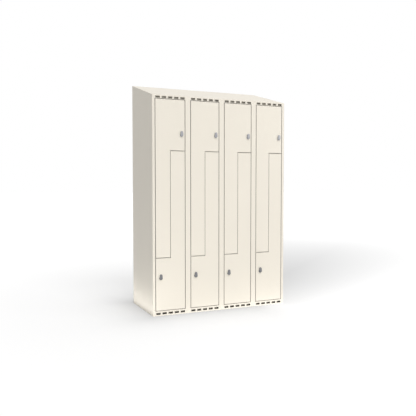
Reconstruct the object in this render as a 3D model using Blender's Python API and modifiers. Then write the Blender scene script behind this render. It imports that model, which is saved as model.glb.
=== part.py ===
"""Z locker: columns of two interlocking doors in a sheet-steel carcass with a sloping roof.

Frame: metres, +Z up. The origin is the middle of the base, at floor level.
The doors face -Y, and the columns follow each other along +X.
"""

import math

import bmesh
import bpy
from mathutils import Matrix, Vector

# Carcass
COLUMNS = 4
COLUMN_WIDTH = 0.300
DEPTH = 0.550
HEIGHT_BACK = 1.900
ROOF_ANGLE = math.radians(15.5)
SHEET = 0.001

# Clearances
FIT_GAP = 0.0003
CUT_OVERRUN = 0.002
MERGE_DISTANCE = 0.00001

# Front frame
STILE_WIDTH = 0.044
FRAME_DEPTH = 0.020
TOP_RAIL_HEIGHT = 0.028
BOTTOM_RAIL_HEIGHT = 0.0375

# Vent slots in the rails
VENTS_PER_COLUMN = 5
VENT_WIDTH = 0.037
VENT_HEIGHT = 0.0162
VENT_PITCH = 0.052
VENT_CORNER_RADIUS = 0.002
VENT_CORNER_SEGMENTS = 1
TOP_VENT_DROP = 0.0172
BOTTOM_VENT_RISE = 0.0177

# Doors: two Z-shaped steps, given by the middle of the gap between the doors. The side gap is
# the one to a stile, the rail gap the one to a rail. Between the two doors of a column the step
# gap is the one along the level steps, the leg gap the one between the narrow legs.
SIDE_GAP = 0.0045
RAIL_GAP = 0.004
STEP_GAP = 0.005
LEG_GAP = 0.003
DOOR_DEPTH = 0.018
DOOR_FOLD_RADIUS = 0.0015
DOOR_FOLD_SEGMENTS = 1
UPPER_STEP_HEIGHT = 1.312
LOWER_STEP_HEIGHT = 0.462

# Hinges: one rod down the folded edge of each door
HINGE_INSET = 0.009
HINGE_SETBACK = 0.005
ROD_RADIUS = 0.0025
ROD_SIDES = 16
ROD_TAIL = 0.002
RUNNING_CLEARANCE = 0.0003
LUG_LENGTH = 0.016
LUG_SHEET = 0.0012
LUG_SETBACK = 0.001
LUG_LAP = 0.010
SWING_CLEARANCE = 0.001

# Door stop: the flat strip along the front edge of each Z divider
STOP_WIDTH = 0.030
STOP_SHEET = 0.0025

# Locks: a distance from the door's free edge, a share of the wide part's height from its step
LOCK_EDGE_DISTANCES = {"upper": 0.028, "lower": 0.0405}
LOCK_HEIGHT_SHARES = {"upper": 0.310, "lower": 0.379}
ROSETTE_RADIUS = 0.0135
ROSETTE_THICKNESS = 0.003
ROSETTE_CHAMFER = 0.001
BARREL_RADIUS = 0.009
NUT_RADIUS = 0.0125
NUT_THICKNESS = 0.004
LOCK_STEPS = 16
SPINDLE_RADIUS = 0.005
SPINDLE_SIDES = 16
SPINDLE_BITE = 0.004
SPINDLE_TAIL = 0.003
LEVER_HUB_RADIUS = 0.0118
LEVER_TIP_RADIUS = 0.010
LEVER_LENGTH = 0.0215
LEVER_THICKNESS = 0.010
LEVER_EDGE_RADIUS = 0.002
LEVER_EDGE_SEGMENTS = 1
LEVER_ARC_STEPS = 6
CAM_HALF_WIDTH = 0.008
CAM_SHEET = 0.0025
CAM_ENGAGEMENT = 0.007
CAM_CLEARANCE = 0.0015

# Coat hooks on the back panel, below the top of each compartment
HOOK_WIDTH = 0.018
HOOK_SHEET = 0.0025
HOOK_PLATE_HEIGHT = 0.042
HOOK_BEND_RADIUS = 0.016
HOOK_BEND_ANGLE = math.radians(160.0)
HOOK_BEND_STEPS = 8
HOOK_TIP_LENGTH = 0.008
HOOK_DROP = 0.060

# Derived levels and planes
WIDTH = COLUMNS * COLUMN_WIDTH
LEFT_X = -WIDTH / 2
FRONT_Y = -DEPTH / 2
BACK_Y = DEPTH / 2
HEIGHT_FRONT = HEIGHT_BACK - DEPTH * math.tan(ROOF_ANGLE)
FRAME_BACK_Y = FRONT_Y + FRAME_DEPTH
PANEL_BACK_Y = BACK_Y - SHEET - FIT_GAP
TOP_RAIL_EDGE = HEIGHT_FRONT - TOP_RAIL_HEIGHT
DOOR_SIDE_MARGIN = STILE_WIDTH / 2 + SIDE_GAP
DOOR_TOP = TOP_RAIL_EDGE - RAIL_GAP
DOOR_BOTTOM = BOTTOM_RAIL_HEIGHT + RAIL_GAP
HINGE_Y = FRONT_Y + HINGE_SETBACK

# Paint and metal: base colour, metallic, roughness
FINISHES = {
    "carcass_paint": ((0.80, 0.77, 0.68), 0.0, 0.42),
    "frame_paint": ((0.82, 0.79, 0.70), 0.0, 0.42),
    "divider_paint": ((0.78, 0.75, 0.66), 0.0, 0.45),
    "door_paint": ((0.84, 0.81, 0.72), 0.0, 0.40),
    "rod_steel": ((0.55, 0.55, 0.54), 1.0, 0.35),
    "lock_case_zinc": ((0.42, 0.43, 0.45), 1.0, 0.38),
    "lock_lever_zinc": ((0.36, 0.37, 0.39), 1.0, 0.34),
    "hook_zinc": ((0.58, 0.58, 0.57), 1.0, 0.40),
}


def clear_scene():
    """Empty the scene, whatever file it is."""
    for obj in list(bpy.data.objects):
        bpy.data.objects.remove(obj, do_unlink=True)


def make_collection(name):
    """A new collection in the scene."""
    collection = bpy.data.collections.new(name)
    bpy.context.scene.collection.children.link(collection)
    return collection


def make_material(name):
    """A Principled material from the table of finishes."""
    colour, metallic, roughness = FINISHES[name]
    material = bpy.data.materials.new(name)
    material.use_nodes = True
    shader = material.node_tree.nodes["Principled BSDF"]
    shader.inputs["Base Color"].default_value = (*colour, 1.0)
    shader.inputs["Metallic"].default_value = metallic
    shader.inputs["Roughness"].default_value = roughness
    return material


def add_object(name, mesh, collection, material=None, origin=None):
    """Put a mesh in the scene. Its origin moves to the given point, its shape stays."""
    obj = bpy.data.objects.new(name, mesh)
    collection.objects.link(obj)
    if material and not mesh.materials:
        mesh.materials.append(material)
    if origin is not None:
        mesh.transform(Matrix.Translation(-Vector(origin)))
        obj.location = origin
    return obj


def mesh_from(bm, name):
    """The finished bmesh as a mesh."""
    mesh = bpy.data.meshes.new(name)
    bm.to_mesh(mesh)
    bm.free()
    return mesh


def add_cutter(name, mesh, cutters):
    """A shape that only cuts or joins others."""
    cutter = add_object(name, mesh, cutters)
    cutter.hide_render = True
    cutter.display_type = "WIRE"
    return cutter


def add_boolean(obj, other, operation):
    """Cut or join one object with another."""
    modifier = obj.modifiers.new(operation.lower(), "BOOLEAN")
    modifier.operation = operation
    modifier.solver = "EXACT"
    modifier.object = other


def add_solidify(obj, thickness, offset):
    """Give an open surface its sheet thickness."""
    modifier = obj.modifiers.new("sheet", "SOLIDIFY")
    modifier.thickness = thickness
    modifier.offset = offset
    modifier.use_even_offset = True


def bake(obj):
    """The object's mesh with its modifiers applied."""
    bpy.context.view_layer.update()
    evaluated = obj.evaluated_get(bpy.context.evaluated_depsgraph_get())
    return bpy.data.meshes.new_from_object(evaluated)


def shade_round(mesh):
    """Smooth shading, with the real edges kept sharp."""
    mesh.shade_smooth()
    mesh.set_sharp_from_angle(angle=math.radians(30.0))


def box(bm, low, high):
    """A box between two corners. Returns its vertices."""
    low = Vector(low)
    high = Vector(high)
    matrix = Matrix.Translation((low + high) / 2) @ Matrix.Diagonal((*(high - low), 1.0))
    return bmesh.ops.create_cube(bm, size=1.0, matrix=matrix)["verts"]


def box_mesh(name, low, high):
    """A mesh that is one box."""
    bm = bmesh.new()
    box(bm, low, high)
    return mesh_from(bm, name)


def cylinder_mesh(name, radius, sides, base, top):
    """A cylinder between two points."""
    base = Vector(base)
    top = Vector(top)
    turn = (top - base).to_track_quat("Z", "Y").to_matrix().to_4x4()
    bm = bmesh.new()
    bmesh.ops.create_cone(
        bm, cap_ends=True, segments=sides, radius1=radius, radius2=radius,
        depth=(top - base).length, matrix=Matrix.Translation((base + top) / 2) @ turn)
    return mesh_from(bm, name)


def face_outward(bm, direction):
    """Turn an open surface so that its outermost face along direction looks that way."""
    direction = Vector(direction)
    bmesh.ops.recalc_face_normals(bm, faces=bm.faces)
    bm.normal_update()
    outermost = max(bm.faces, key=lambda face: face.calc_center_median().dot(direction))
    if outermost.normal.dot(direction) < 0:
        bmesh.ops.reverse_faces(bm, faces=bm.faces)


def swept_sheet(name, path, sweep, direction, closed=False):
    """An open surface: a path of folds, swept along a straight line."""
    bm = bmesh.new()
    verts = [bm.verts.new(point) for point in path]
    ends = verts[1:] + verts[:1] if closed else verts[1:]
    edges = [bm.edges.new(pair) for pair in zip(verts, ends)]
    swept = bmesh.ops.extrude_edge_only(bm, edges=edges)["geom"]
    moved = [item for item in swept if isinstance(item, bmesh.types.BMVert)]
    bmesh.ops.translate(bm, verts=moved, vec=sweep)
    face_outward(bm, direction)
    return mesh_from(bm, name)


def prism_mesh(name, outline, low_z, high_z):
    """A flat outline in the XY plane, extruded from one height to another."""
    bm = bmesh.new()
    face = bm.faces.new([bm.verts.new((x, y, low_z)) for x, y in outline])
    raised = bmesh.ops.extrude_face_region(bm, geom=[face])["geom"]
    moved = [item for item in raised if isinstance(item, bmesh.types.BMVert)]
    bmesh.ops.translate(bm, verts=moved, vec=(0.0, 0.0, high_z - low_z))
    bmesh.ops.recalc_face_normals(bm, faces=bm.faces)
    return mesh_from(bm, name)


def tapered_outline(hub_radius, tip_radius, length, steps):
    """The outline round two circles, the hub at the origin and the tip above it."""
    lean = math.asin((hub_radius - tip_radius) / length)
    tip_sweep = math.pi - 2 * lean
    hub_sweep = math.pi + 2 * lean
    points = []
    for step in range(steps + 1):
        angle = lean + tip_sweep * step / steps
        points.append((tip_radius * math.cos(angle), length + tip_radius * math.sin(angle)))
    for step in range(steps + 1):
        angle = math.pi - lean + hub_sweep * step / steps
        points.append((hub_radius * math.cos(angle), hub_radius * math.sin(angle)))
    return points


def roof_top(y):
    """Height of the roof's upper face."""
    return HEIGHT_BACK - (BACK_Y - y) * math.tan(ROOF_ANGLE)


def roof_underside(y):
    """Height of the roof's lower face."""
    return roof_top(y) - SHEET / math.cos(ROOF_ANGLE)


def upright_panel(name, low, high_x, high_y):
    """An upright sheet whose top edge follows the roof, a fit gap below it."""
    bm = bmesh.new()
    verts = box(bm, low, (high_x, high_y, HEIGHT_BACK))
    for vert in verts:
        if vert.co.z > low[2] + SHEET:
            vert.co.z = roof_underside(vert.co.y) - FIT_GAP
    return mesh_from(bm, name)


def column_left(column):
    """X of a column's left boundary."""
    return LEFT_X + column * COLUMN_WIDTH


def wall_face(boundary, towards):
    """X of the face of the sheet on a column boundary: a side panel or a partition."""
    if boundary in (0, COLUMNS):
        return column_left(boundary) + towards * SHEET
    return column_left(boundary) + towards * SHEET / 2


def build_carcass(parts, materials):
    """Sides, partitions, back, base and roof."""
    paint = materials["carcass_paint"]
    for name, low_x in (("side_left", LEFT_X), ("side_right", -LEFT_X - SHEET)):
        mesh = upright_panel(name, (low_x, FRONT_Y, 0.0), low_x + SHEET, BACK_Y)
        add_object(name, mesh, parts, paint)

    inner_left = LEFT_X + SHEET + FIT_GAP
    back = upright_panel(
        "back_panel", (inner_left, BACK_Y - SHEET, 0.0), -inner_left, BACK_Y)
    add_object("back_panel", back, parts, paint)

    base_low = (inner_left, FRONT_Y + SHEET + FIT_GAP, 0.0)
    base = box_mesh("base_panel", base_low, (-inner_left, PANEL_BACK_Y, SHEET))
    add_object("base_panel", base, parts, paint)

    for boundary in range(1, COLUMNS):
        name = f"partition_{boundary}"
        low = (column_left(boundary) - SHEET / 2, FRAME_BACK_Y + FIT_GAP, SHEET + FIT_GAP)
        mesh = upright_panel(name, low, low[0] + SHEET, PANEL_BACK_Y)
        add_object(name, mesh, parts, paint)

    bm = bmesh.new()
    for vert in box(bm, (LEFT_X, FRONT_Y, 0.0), (-LEFT_X, BACK_Y, HEIGHT_BACK)):
        face_height = roof_top if vert.co.z > 0.0 else roof_underside
        vert.co.z = face_height(vert.co.y)
    add_object("sloping_roof", mesh_from(bm, "sloping_roof"), parts, paint)


def vent_cutter(name, centre_z, cutters):
    """The row of rounded slots of one rail, right through its face."""
    bm = bmesh.new()
    for column in range(COLUMNS):
        middle_x = column_left(column) + COLUMN_WIDTH / 2
        for slot in range(VENTS_PER_COLUMN):
            x = middle_x + (slot - (VENTS_PER_COLUMN - 1) / 2) * VENT_PITCH
            low = (x - VENT_WIDTH / 2, FRONT_Y - CUT_OVERRUN, centre_z - VENT_HEIGHT / 2)
            high = (x + VENT_WIDTH / 2, FRONT_Y + SHEET + CUT_OVERRUN,
                    centre_z + VENT_HEIGHT / 2)
            box(bm, low, high)
    corners = [edge for edge in bm.edges if abs(edge.verts[0].co.y - edge.verts[1].co.y) > SHEET]
    bmesh.ops.bevel(
        bm, geom=corners, offset=VENT_CORNER_RADIUS, segments=VENT_CORNER_SEGMENTS,
        profile=0.5, affect="EDGES", material=-1)
    return add_cutter(name, mesh_from(bm, name), cutters)


def build_rails(parts, cutters, materials, bores):
    """The top and bottom rails: an upright face with vents, folded back along the doors."""
    left = LEFT_X + SHEET + FIT_GAP
    sweep = (-2 * left, 0.0, 0.0)
    top_z = roof_underside(FRONT_Y) - FIT_GAP
    rails = {
        "top_rail": (
            [(left, FRONT_Y, top_z), (left, FRONT_Y, TOP_RAIL_EDGE),
             (left, FRAME_BACK_Y, TOP_RAIL_EDGE)],
            HEIGHT_FRONT - TOP_VENT_DROP, bores["upper"]),
        "bottom_rail": (
            [(left, FRONT_Y, 0.0), (left, FRONT_Y, BOTTOM_RAIL_HEIGHT),
             (left, FRAME_BACK_Y, BOTTOM_RAIL_HEIGHT)],
            BOTTOM_VENT_RISE, bores["lower"]),
    }
    for name, (path, vent_z, rail_bores) in rails.items():
        mesh = swept_sheet(name, path, sweep, (0.0, -1.0, 0.0))
        rail = add_object(name, mesh, parts, materials["frame_paint"])
        add_solidify(rail, SHEET, -1.0)
        add_boolean(rail, vent_cutter(f"{name}_vents", vent_z, cutters), "DIFFERENCE")
        for bore in rail_bores:
            add_boolean(rail, bore, "DIFFERENCE")


def build_stiles(parts, materials):
    """The box-section uprights between the doors, standing between the two rails."""
    low_z = BOTTOM_RAIL_HEIGHT + FIT_GAP
    height = TOP_RAIL_EDGE - FIT_GAP - low_z
    for boundary in range(COLUMNS + 1):
        low_x = column_left(boundary) - STILE_WIDTH / 2
        high_x = low_x + STILE_WIDTH
        if boundary == 0:
            low_x = LEFT_X + SHEET + FIT_GAP
        if boundary == COLUMNS:
            high_x = -LEFT_X - SHEET - FIT_GAP
        path = [(low_x, FRONT_Y, low_z), (high_x, FRONT_Y, low_z),
                (high_x, FRAME_BACK_Y, low_z), (low_x, FRAME_BACK_Y, low_z)]
        name = f"stile_{boundary + 1}"
        mesh = swept_sheet(name, path, (0.0, 0.0, height), (0.0, -1.0, 0.0), closed=True)
        stile = add_object(name, mesh, parts, materials["frame_paint"])
        add_solidify(stile, SHEET, -1.0)


def door_outline(column, level):
    """Corners of a door's front, as (x, z). The narrow leg is on the hinge side."""
    left = column_left(column) + DOOR_SIDE_MARGIN
    right = column_left(column + 1) - DOOR_SIDE_MARGIN
    middle = column_left(column) + COLUMN_WIDTH / 2
    half_gap = STEP_GAP / 2
    if level == "upper":
        leg_edge = middle - LEG_GAP / 2
        step = UPPER_STEP_HEIGHT + half_gap
        foot = LOWER_STEP_HEIGHT + half_gap
        return [(left, DOOR_TOP), (right, DOOR_TOP), (right, step),
                (leg_edge, step), (leg_edge, foot), (left, foot)]
    leg_edge = middle + LEG_GAP / 2
    step = LOWER_STEP_HEIGHT - half_gap
    head = UPPER_STEP_HEIGHT - half_gap
    return [(left, DOOR_BOTTOM), (right, DOOR_BOTTOM), (right, head),
            (leg_edge, head), (leg_edge, step), (left, step)]


def hinge_x(column, level):
    """X of a door's hinge axis: left edge on the upper doors, right edge on the lower."""
    if level == "upper":
        return column_left(column) + DOOR_SIDE_MARGIN + HINGE_INSET
    return column_left(column + 1) - DOOR_SIDE_MARGIN - HINGE_INSET


def rod_span(level):
    """Lowest and highest point of a hinge rod: a rail at one end, a divider lug at the other."""
    if level == "upper":
        return LOWER_STEP_HEIGHT - LUG_SHEET / 2, TOP_RAIL_EDGE + SHEET + ROD_TAIL
    return BOTTOM_RAIL_HEIGHT - SHEET - ROD_TAIL, UPPER_STEP_HEIGHT + LUG_SHEET / 2


def lock_axis(column, level):
    """Point on a lock's turning axis, on the door's front face."""
    share = LOCK_HEIGHT_SHARES[level]
    inset = DOOR_SIDE_MARGIN + LOCK_EDGE_DISTANCES[level]
    if level == "upper":
        x = column_left(column + 1) - inset
        step = UPPER_STEP_HEIGHT + STEP_GAP / 2
        return Vector((x, FRONT_Y, step + share * (DOOR_TOP - step)))
    x = column_left(column) + inset
    step = LOWER_STEP_HEIGHT - STEP_GAP / 2
    return Vector((x, FRONT_Y, step - share * (step - DOOR_BOTTOM)))


def build_hinge_rods(parts, cutters, materials):
    """The rods, and the bores that the rails, dividers and doors share."""
    bores = {"upper": [], "lower": []}
    for level in ("upper", "lower"):
        low_z, high_z = rod_span(level)
        for column in range(COLUMNS):
            x = hinge_x(column, level)
            name = f"hinge_rod_{level}_{column + 1}"
            mesh = cylinder_mesh(
                name, ROD_RADIUS, ROD_SIDES, (x, HINGE_Y, low_z), (x, HINGE_Y, high_z))
            shade_round(mesh)
            add_object(name, mesh, parts, materials["rod_steel"], (x, HINGE_Y, low_z))
            bore_mesh = cylinder_mesh(
                f"{name}_bore", ROD_RADIUS + RUNNING_CLEARANCE, ROD_SIDES,
                (x, HINGE_Y, low_z - CUT_OVERRUN), (x, HINGE_Y, high_z + CUT_OVERRUN))
            bores[level].append(add_cutter(f"{name}_bore", bore_mesh, cutters))
    return bores


def stop_outline(column):
    """Outline of the Z-shaped door stop behind the gap between two doors, as (x, z).

    By each hinge, the half of the strip that the door's folded edge swings over is left out.
    """
    half = STOP_WIDTH / 2
    swing = math.hypot(HINGE_INSET, DOOR_DEPTH - HINGE_SETBACK) + SWING_CLEARANCE
    relief_left = hinge_x(column, "upper") + swing
    relief_right = hinge_x(column, "lower") - swing
    left = column_left(column) + STILE_WIDTH / 2 + FIT_GAP
    right = column_left(column + 1) - STILE_WIDTH / 2 - FIT_GAP
    middle = column_left(column) + COLUMN_WIDTH / 2
    low = LOWER_STEP_HEIGHT
    high = UPPER_STEP_HEIGHT
    return [(left, low - half), (middle + half, low - half), (middle + half, high - half),
            (relief_right, high - half), (relief_right, high), (right, high),
            (right, high + half), (middle - half, high + half), (middle - half, low + half),
            (relief_left, low + half), (relief_left, low), (left, low)]


def build_dividers(parts, cutters, materials, bores):
    """The Z-shaped sheets between the two compartments, with door stop and hinge lugs."""
    stop_y = FRONT_Y + DOOR_DEPTH + FIT_GAP
    sheet_y = FRAME_BACK_Y + FIT_GAP
    for column in range(COLUMNS):
        name = f"z_divider_{column + 1}"
        left = wall_face(column, 1) + FIT_GAP
        right = wall_face(column + 1, -1) - FIT_GAP
        middle = column_left(column) + COLUMN_WIDTH / 2
        path = [(left, sheet_y, LOWER_STEP_HEIGHT), (middle, sheet_y, LOWER_STEP_HEIGHT),
                (middle, sheet_y, UPPER_STEP_HEIGHT), (right, sheet_y, UPPER_STEP_HEIGHT)]
        sweep = (0.0, PANEL_BACK_Y - sheet_y, 0.0)
        divider = add_object(
            name, swept_sheet(name, path, sweep, (0.0, 0.0, 1.0)), parts,
            materials["divider_paint"])
        add_solidify(divider, SHEET, 0.0)

        stop = prism_mesh(f"{name}_stop", stop_outline(column), 0.0, STOP_SHEET)
        stop.transform(Matrix.Rotation(math.radians(90.0), 4, "X"))
        stop.transform(Matrix.Translation((0.0, stop_y + STOP_SHEET, 0.0)))
        add_boolean(divider, add_cutter(f"{name}_stop", stop, cutters), "UNION")

        for level, step in (("upper", LOWER_STEP_HEIGHT), ("lower", UPPER_STEP_HEIGHT)):
            axis_x = hinge_x(column, level)
            low = (axis_x - LUG_LENGTH / 2, FRONT_Y + LUG_SETBACK, step - LUG_SHEET / 2)
            high = (axis_x + LUG_LENGTH / 2, sheet_y + LUG_LAP, step + LUG_SHEET / 2)
            lug = box_mesh(f"{name}_{level}_lug", low, high)
            add_boolean(divider, add_cutter(f"{name}_{level}_lug", lug, cutters), "UNION")
            add_boolean(divider, bores[level][column], "DIFFERENCE")


def build_door(column, level, parts, cutters, materials, bore):
    """A folded pan: the front and its returns are one surface, given the sheet's thickness."""
    name = f"{level}_door_{column + 1}"
    bm = bmesh.new()
    verts = [bm.verts.new((x, FRONT_Y, z)) for x, z in door_outline(column, level)]
    front = bm.faces.new(verts)
    returns = bmesh.ops.extrude_edge_only(bm, edges=list(front.edges))["geom"]
    moved = [item for item in returns if isinstance(item, bmesh.types.BMVert)]
    bmesh.ops.translate(bm, verts=moved, vec=(0.0, DOOR_DEPTH, 0.0))
    face_outward(bm, (0.0, -1.0, 0.0))

    origin = (hinge_x(column, level), HINGE_Y, rod_span(level)[0])
    door = add_object(name, mesh_from(bm, name), parts, materials["door_paint"], origin)
    folds = door.modifiers.new("folds", "BEVEL")
    folds.width = DOOR_FOLD_RADIUS
    folds.segments = DOOR_FOLD_SEGMENTS
    folds.limit_method = "ANGLE"
    add_solidify(door, SHEET, -1.0)

    axis = lock_axis(column, level)
    reach = Vector((0.0, SHEET + CUT_OVERRUN, 0.0))
    hole = cylinder_mesh(
        f"{name}_lock_hole", BARREL_RADIUS + FIT_GAP, LOCK_STEPS, axis - reach, axis + reach)
    add_boolean(door, add_cutter(f"{name}_lock_hole", hole, cutters), "DIFFERENCE")
    add_boolean(door, bore, "DIFFERENCE")
    return door


def lock_case_mesh(cutters):
    """Rosette, threaded barrel and nut: a turned ring, its axis along local Z, outwards."""
    front = FIT_GAP + ROSETTE_THICKNESS
    nut_front = -SHEET - FIT_GAP
    barrel_end = -(FRAME_DEPTH + CAM_CLEARANCE) + RUNNING_CLEARANCE
    bore_radius = SPINDLE_RADIUS + RUNNING_CLEARANCE
    profile = [
        (ROSETTE_RADIUS - ROSETTE_CHAMFER, front), (ROSETTE_RADIUS, front - ROSETTE_CHAMFER),
        (ROSETTE_RADIUS, FIT_GAP), (BARREL_RADIUS, FIT_GAP), (BARREL_RADIUS, nut_front),
        (NUT_RADIUS, nut_front), (NUT_RADIUS, nut_front - NUT_THICKNESS),
        (BARREL_RADIUS, nut_front - NUT_THICKNESS), (BARREL_RADIUS, barrel_end),
        (bore_radius, barrel_end), (bore_radius, front)]
    bm = bmesh.new()
    verts = [bm.verts.new((radius, 0.0, z)) for radius, z in profile]
    for start, end in zip(verts, verts[1:] + verts[:1]):
        bm.edges.new((start, end))
    blank = add_cutter("lock_case_blank", mesh_from(bm, "lock_case_blank"), cutters)
    screw = blank.modifiers.new("turn", "SCREW")
    screw.steps = LOCK_STEPS
    screw.render_steps = LOCK_STEPS
    screw.use_merge_vertices = True
    screw.merge_threshold = MERGE_DISTANCE
    mesh = bake(blank)
    bpy.data.objects.remove(blank, do_unlink=True)
    mesh.name = "lock_case"
    shade_round(mesh)
    return mesh


def lock_lever_mesh(level, cutters):
    """Lever, spindle and cam: one turning piece, its axis along local Z, outwards."""
    lever_back = FIT_GAP + ROSETTE_THICKNESS + RUNNING_CLEARANCE
    cam_front = -(FRAME_DEPTH + CAM_CLEARANCE)
    cam_back = cam_front - CAM_SHEET
    cam_length = LOCK_EDGE_DISTANCES[level] + SIDE_GAP + CAM_ENGAGEMENT - CAM_HALF_WIDTH

    outline = tapered_outline(LEVER_HUB_RADIUS, LEVER_TIP_RADIUS, LEVER_LENGTH, LEVER_ARC_STEPS)
    mesh = prism_mesh("lever_blank", outline, lever_back, lever_back + LEVER_THICKNESS)
    blank = add_cutter("lever_blank", mesh, cutters)
    rounding = blank.modifiers.new("rounding", "BEVEL")
    rounding.width = LEVER_EDGE_RADIUS
    rounding.segments = LEVER_EDGE_SEGMENTS
    rounding.limit_method = "ANGLE"
    rounding.angle_limit = math.radians(60.0)

    spindle = cylinder_mesh(
        "lever_spindle", SPINDLE_RADIUS, SPINDLE_SIDES,
        (0.0, 0.0, cam_back - SPINDLE_TAIL), (0.0, 0.0, lever_back + SPINDLE_BITE))
    cam_points = tapered_outline(CAM_HALF_WIDTH, CAM_HALF_WIDTH, cam_length, LEVER_ARC_STEPS)
    cam = prism_mesh("lever_cam", [(x, -y) for x, y in cam_points], cam_back, cam_front)
    joined = [add_cutter("lever_spindle", spindle, cutters), add_cutter("lever_cam", cam, cutters)]
    for other in joined:
        add_boolean(blank, other, "UNION")
    result = bake(blank)
    for obj in (blank, *joined):
        bpy.data.objects.remove(obj, do_unlink=True)
    result.name = f"lock_lever_{level}"
    shade_round(result)
    return result


def build_doors_and_locks(parts, cutters, materials, bores):
    """Every door with its lock case and lock lever, which are carried by the door."""
    case_mesh = lock_case_mesh(cutters)
    outwards = (math.radians(90.0), 0.0, 0.0)
    for level in ("upper", "lower"):
        lever_mesh = lock_lever_mesh(level, cutters)
        for column in range(COLUMNS):
            door = build_door(column, level, parts, cutters, materials, bores[level][column])
            for kind, mesh, finish in (("case", case_mesh, "lock_case_zinc"),
                                       ("lever", lever_mesh, "lock_lever_zinc")):
                name = f"lock_{kind}_{level}_{column + 1}"
                piece = add_object(name, mesh, parts, materials[finish])
                piece.parent = door
                piece.location = lock_axis(column, level) - door.location
                piece.rotation_euler = outwards


def hook_path():
    """Outer side of the bent strip as (y, z): y is 0 at the wall, the plate's foot at z 0."""
    points = [(0.0, HOOK_PLATE_HEIGHT), (0.0, 0.0)]
    for step in range(1, HOOK_BEND_STEPS + 1):
        angle = HOOK_BEND_ANGLE * step / HOOK_BEND_STEPS
        points.append((HOOK_BEND_RADIUS * (math.cos(angle) - 1),
                       -HOOK_BEND_RADIUS * math.sin(angle)))
    end_y, end_z = points[-1]
    points.append((end_y - HOOK_TIP_LENGTH * math.sin(HOOK_BEND_ANGLE),
                   end_z - HOOK_TIP_LENGTH * math.cos(HOOK_BEND_ANGLE)))
    return points


def hook_place(column, level):
    """Foot of a hook's plate: over the narrow leg of its compartment, on the back panel."""
    middle = column_left(column) + COLUMN_WIDTH / 2
    if level == "upper":
        x = (wall_face(column, 1) + middle) / 2
        ceiling = TOP_RAIL_EDGE
    else:
        x = (wall_face(column + 1, -1) + middle) / 2
        ceiling = UPPER_STEP_HEIGHT
    return Vector((x, PANEL_BACK_Y, ceiling - HOOK_DROP))


def build_hooks(parts, materials):
    """One bent-strip coat hook in each compartment."""
    path = [(-HOOK_WIDTH / 2, y, z) for y, z in hook_path()]
    mesh = swept_sheet("coat_hook", path, (HOOK_WIDTH, 0.0, 0.0), (0.0, 1.0, 0.0))
    shade_round(mesh)
    for level in ("upper", "lower"):
        for column in range(COLUMNS):
            name = f"coat_hook_{level}_{column + 1}"
            hook = add_object(name, mesh, parts, materials["hook_zinc"])
            hook.location = hook_place(column, level)
            add_solidify(hook, HOOK_SHEET, -1.0)


def main():
    """Build the whole locker."""
    clear_scene()
    parts = make_collection("z_locker")
    cutters = make_collection("z_locker_cutters")
    materials = {name: make_material(name) for name in FINISHES}
    bores = build_hinge_rods(parts, cutters, materials)
    build_carcass(parts, materials)
    build_rails(parts, cutters, materials, bores)
    build_stiles(parts, materials)
    build_dividers(parts, cutters, materials, bores)
    build_doors_and_locks(parts, cutters, materials, bores)
    build_hooks(parts, materials)


if __name__ == "__main__":
    main()
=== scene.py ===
"""Z locker, finished for a picture: powder-coated sheet, zinc locks, hooks and hinge rods.

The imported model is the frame: metres, +Z up, doors facing -Y, columns along +X. Every piece
takes its place from the frame's boxes and keeps that place in its mesh.
"""

import math

import bmesh
import bpy
from bpy.props import FloatProperty, FloatVectorProperty, IntProperty, PointerProperty
from mathutils import Matrix, Vector


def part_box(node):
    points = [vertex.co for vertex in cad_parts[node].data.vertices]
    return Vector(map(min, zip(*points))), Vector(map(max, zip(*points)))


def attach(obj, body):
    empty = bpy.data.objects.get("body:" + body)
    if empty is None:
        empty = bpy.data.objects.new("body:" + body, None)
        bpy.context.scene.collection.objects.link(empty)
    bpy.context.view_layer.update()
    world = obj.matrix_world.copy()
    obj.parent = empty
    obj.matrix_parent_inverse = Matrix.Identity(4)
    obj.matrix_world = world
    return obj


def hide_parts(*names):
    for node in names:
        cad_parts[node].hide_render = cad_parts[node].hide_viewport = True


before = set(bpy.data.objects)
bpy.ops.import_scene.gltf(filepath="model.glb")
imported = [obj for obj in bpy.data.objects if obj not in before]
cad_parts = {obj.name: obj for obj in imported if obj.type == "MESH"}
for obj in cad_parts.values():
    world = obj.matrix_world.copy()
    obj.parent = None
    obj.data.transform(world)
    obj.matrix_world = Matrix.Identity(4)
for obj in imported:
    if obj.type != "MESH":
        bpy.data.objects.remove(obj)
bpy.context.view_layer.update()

bl_info = {
    "name": "Z locker",
    "version": (1, 0, 0),
    "blender": (4, 5, 0),
    "location": "3D View > Sidebar > Z locker",
    "description": "Models and finishes the sheet, doors, locks and hooks of a z locker",
    "category": "Add Mesh",
}

# What the frame gives
COLUMNS = sum(name.startswith("upper_door_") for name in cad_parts)
LEFT_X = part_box("side_left")[0].x
RIGHT_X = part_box("side_right")[1].x
FRONT_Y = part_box("side_left")[0].y
BACK_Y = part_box("side_left")[1].y
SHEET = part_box("side_left")[1].x - LEFT_X
HEIGHT_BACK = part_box("sloping_roof")[1].z
HEIGHT_FRONT = max(
    vert.co.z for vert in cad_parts["sloping_roof"].data.vertices
    if vert.co.y < FRONT_Y + SHEET)
ROOF_SLOPE = (HEIGHT_BACK - HEIGHT_FRONT) / (BACK_Y - FRONT_Y)
FRAME_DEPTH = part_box("stile_2")[1].y - FRONT_Y
FIT_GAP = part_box("partition_1")[0].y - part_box("stile_2")[1].y
SIDE_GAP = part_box("upper_door_1")[0].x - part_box("stile_1")[1].x
RAIL_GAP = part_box("top_rail")[0].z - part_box("upper_door_1")[1].z
DOOR_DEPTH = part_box("upper_door_1")[1].y - FRONT_Y
LEVELS = ("upper", "lower")

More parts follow.
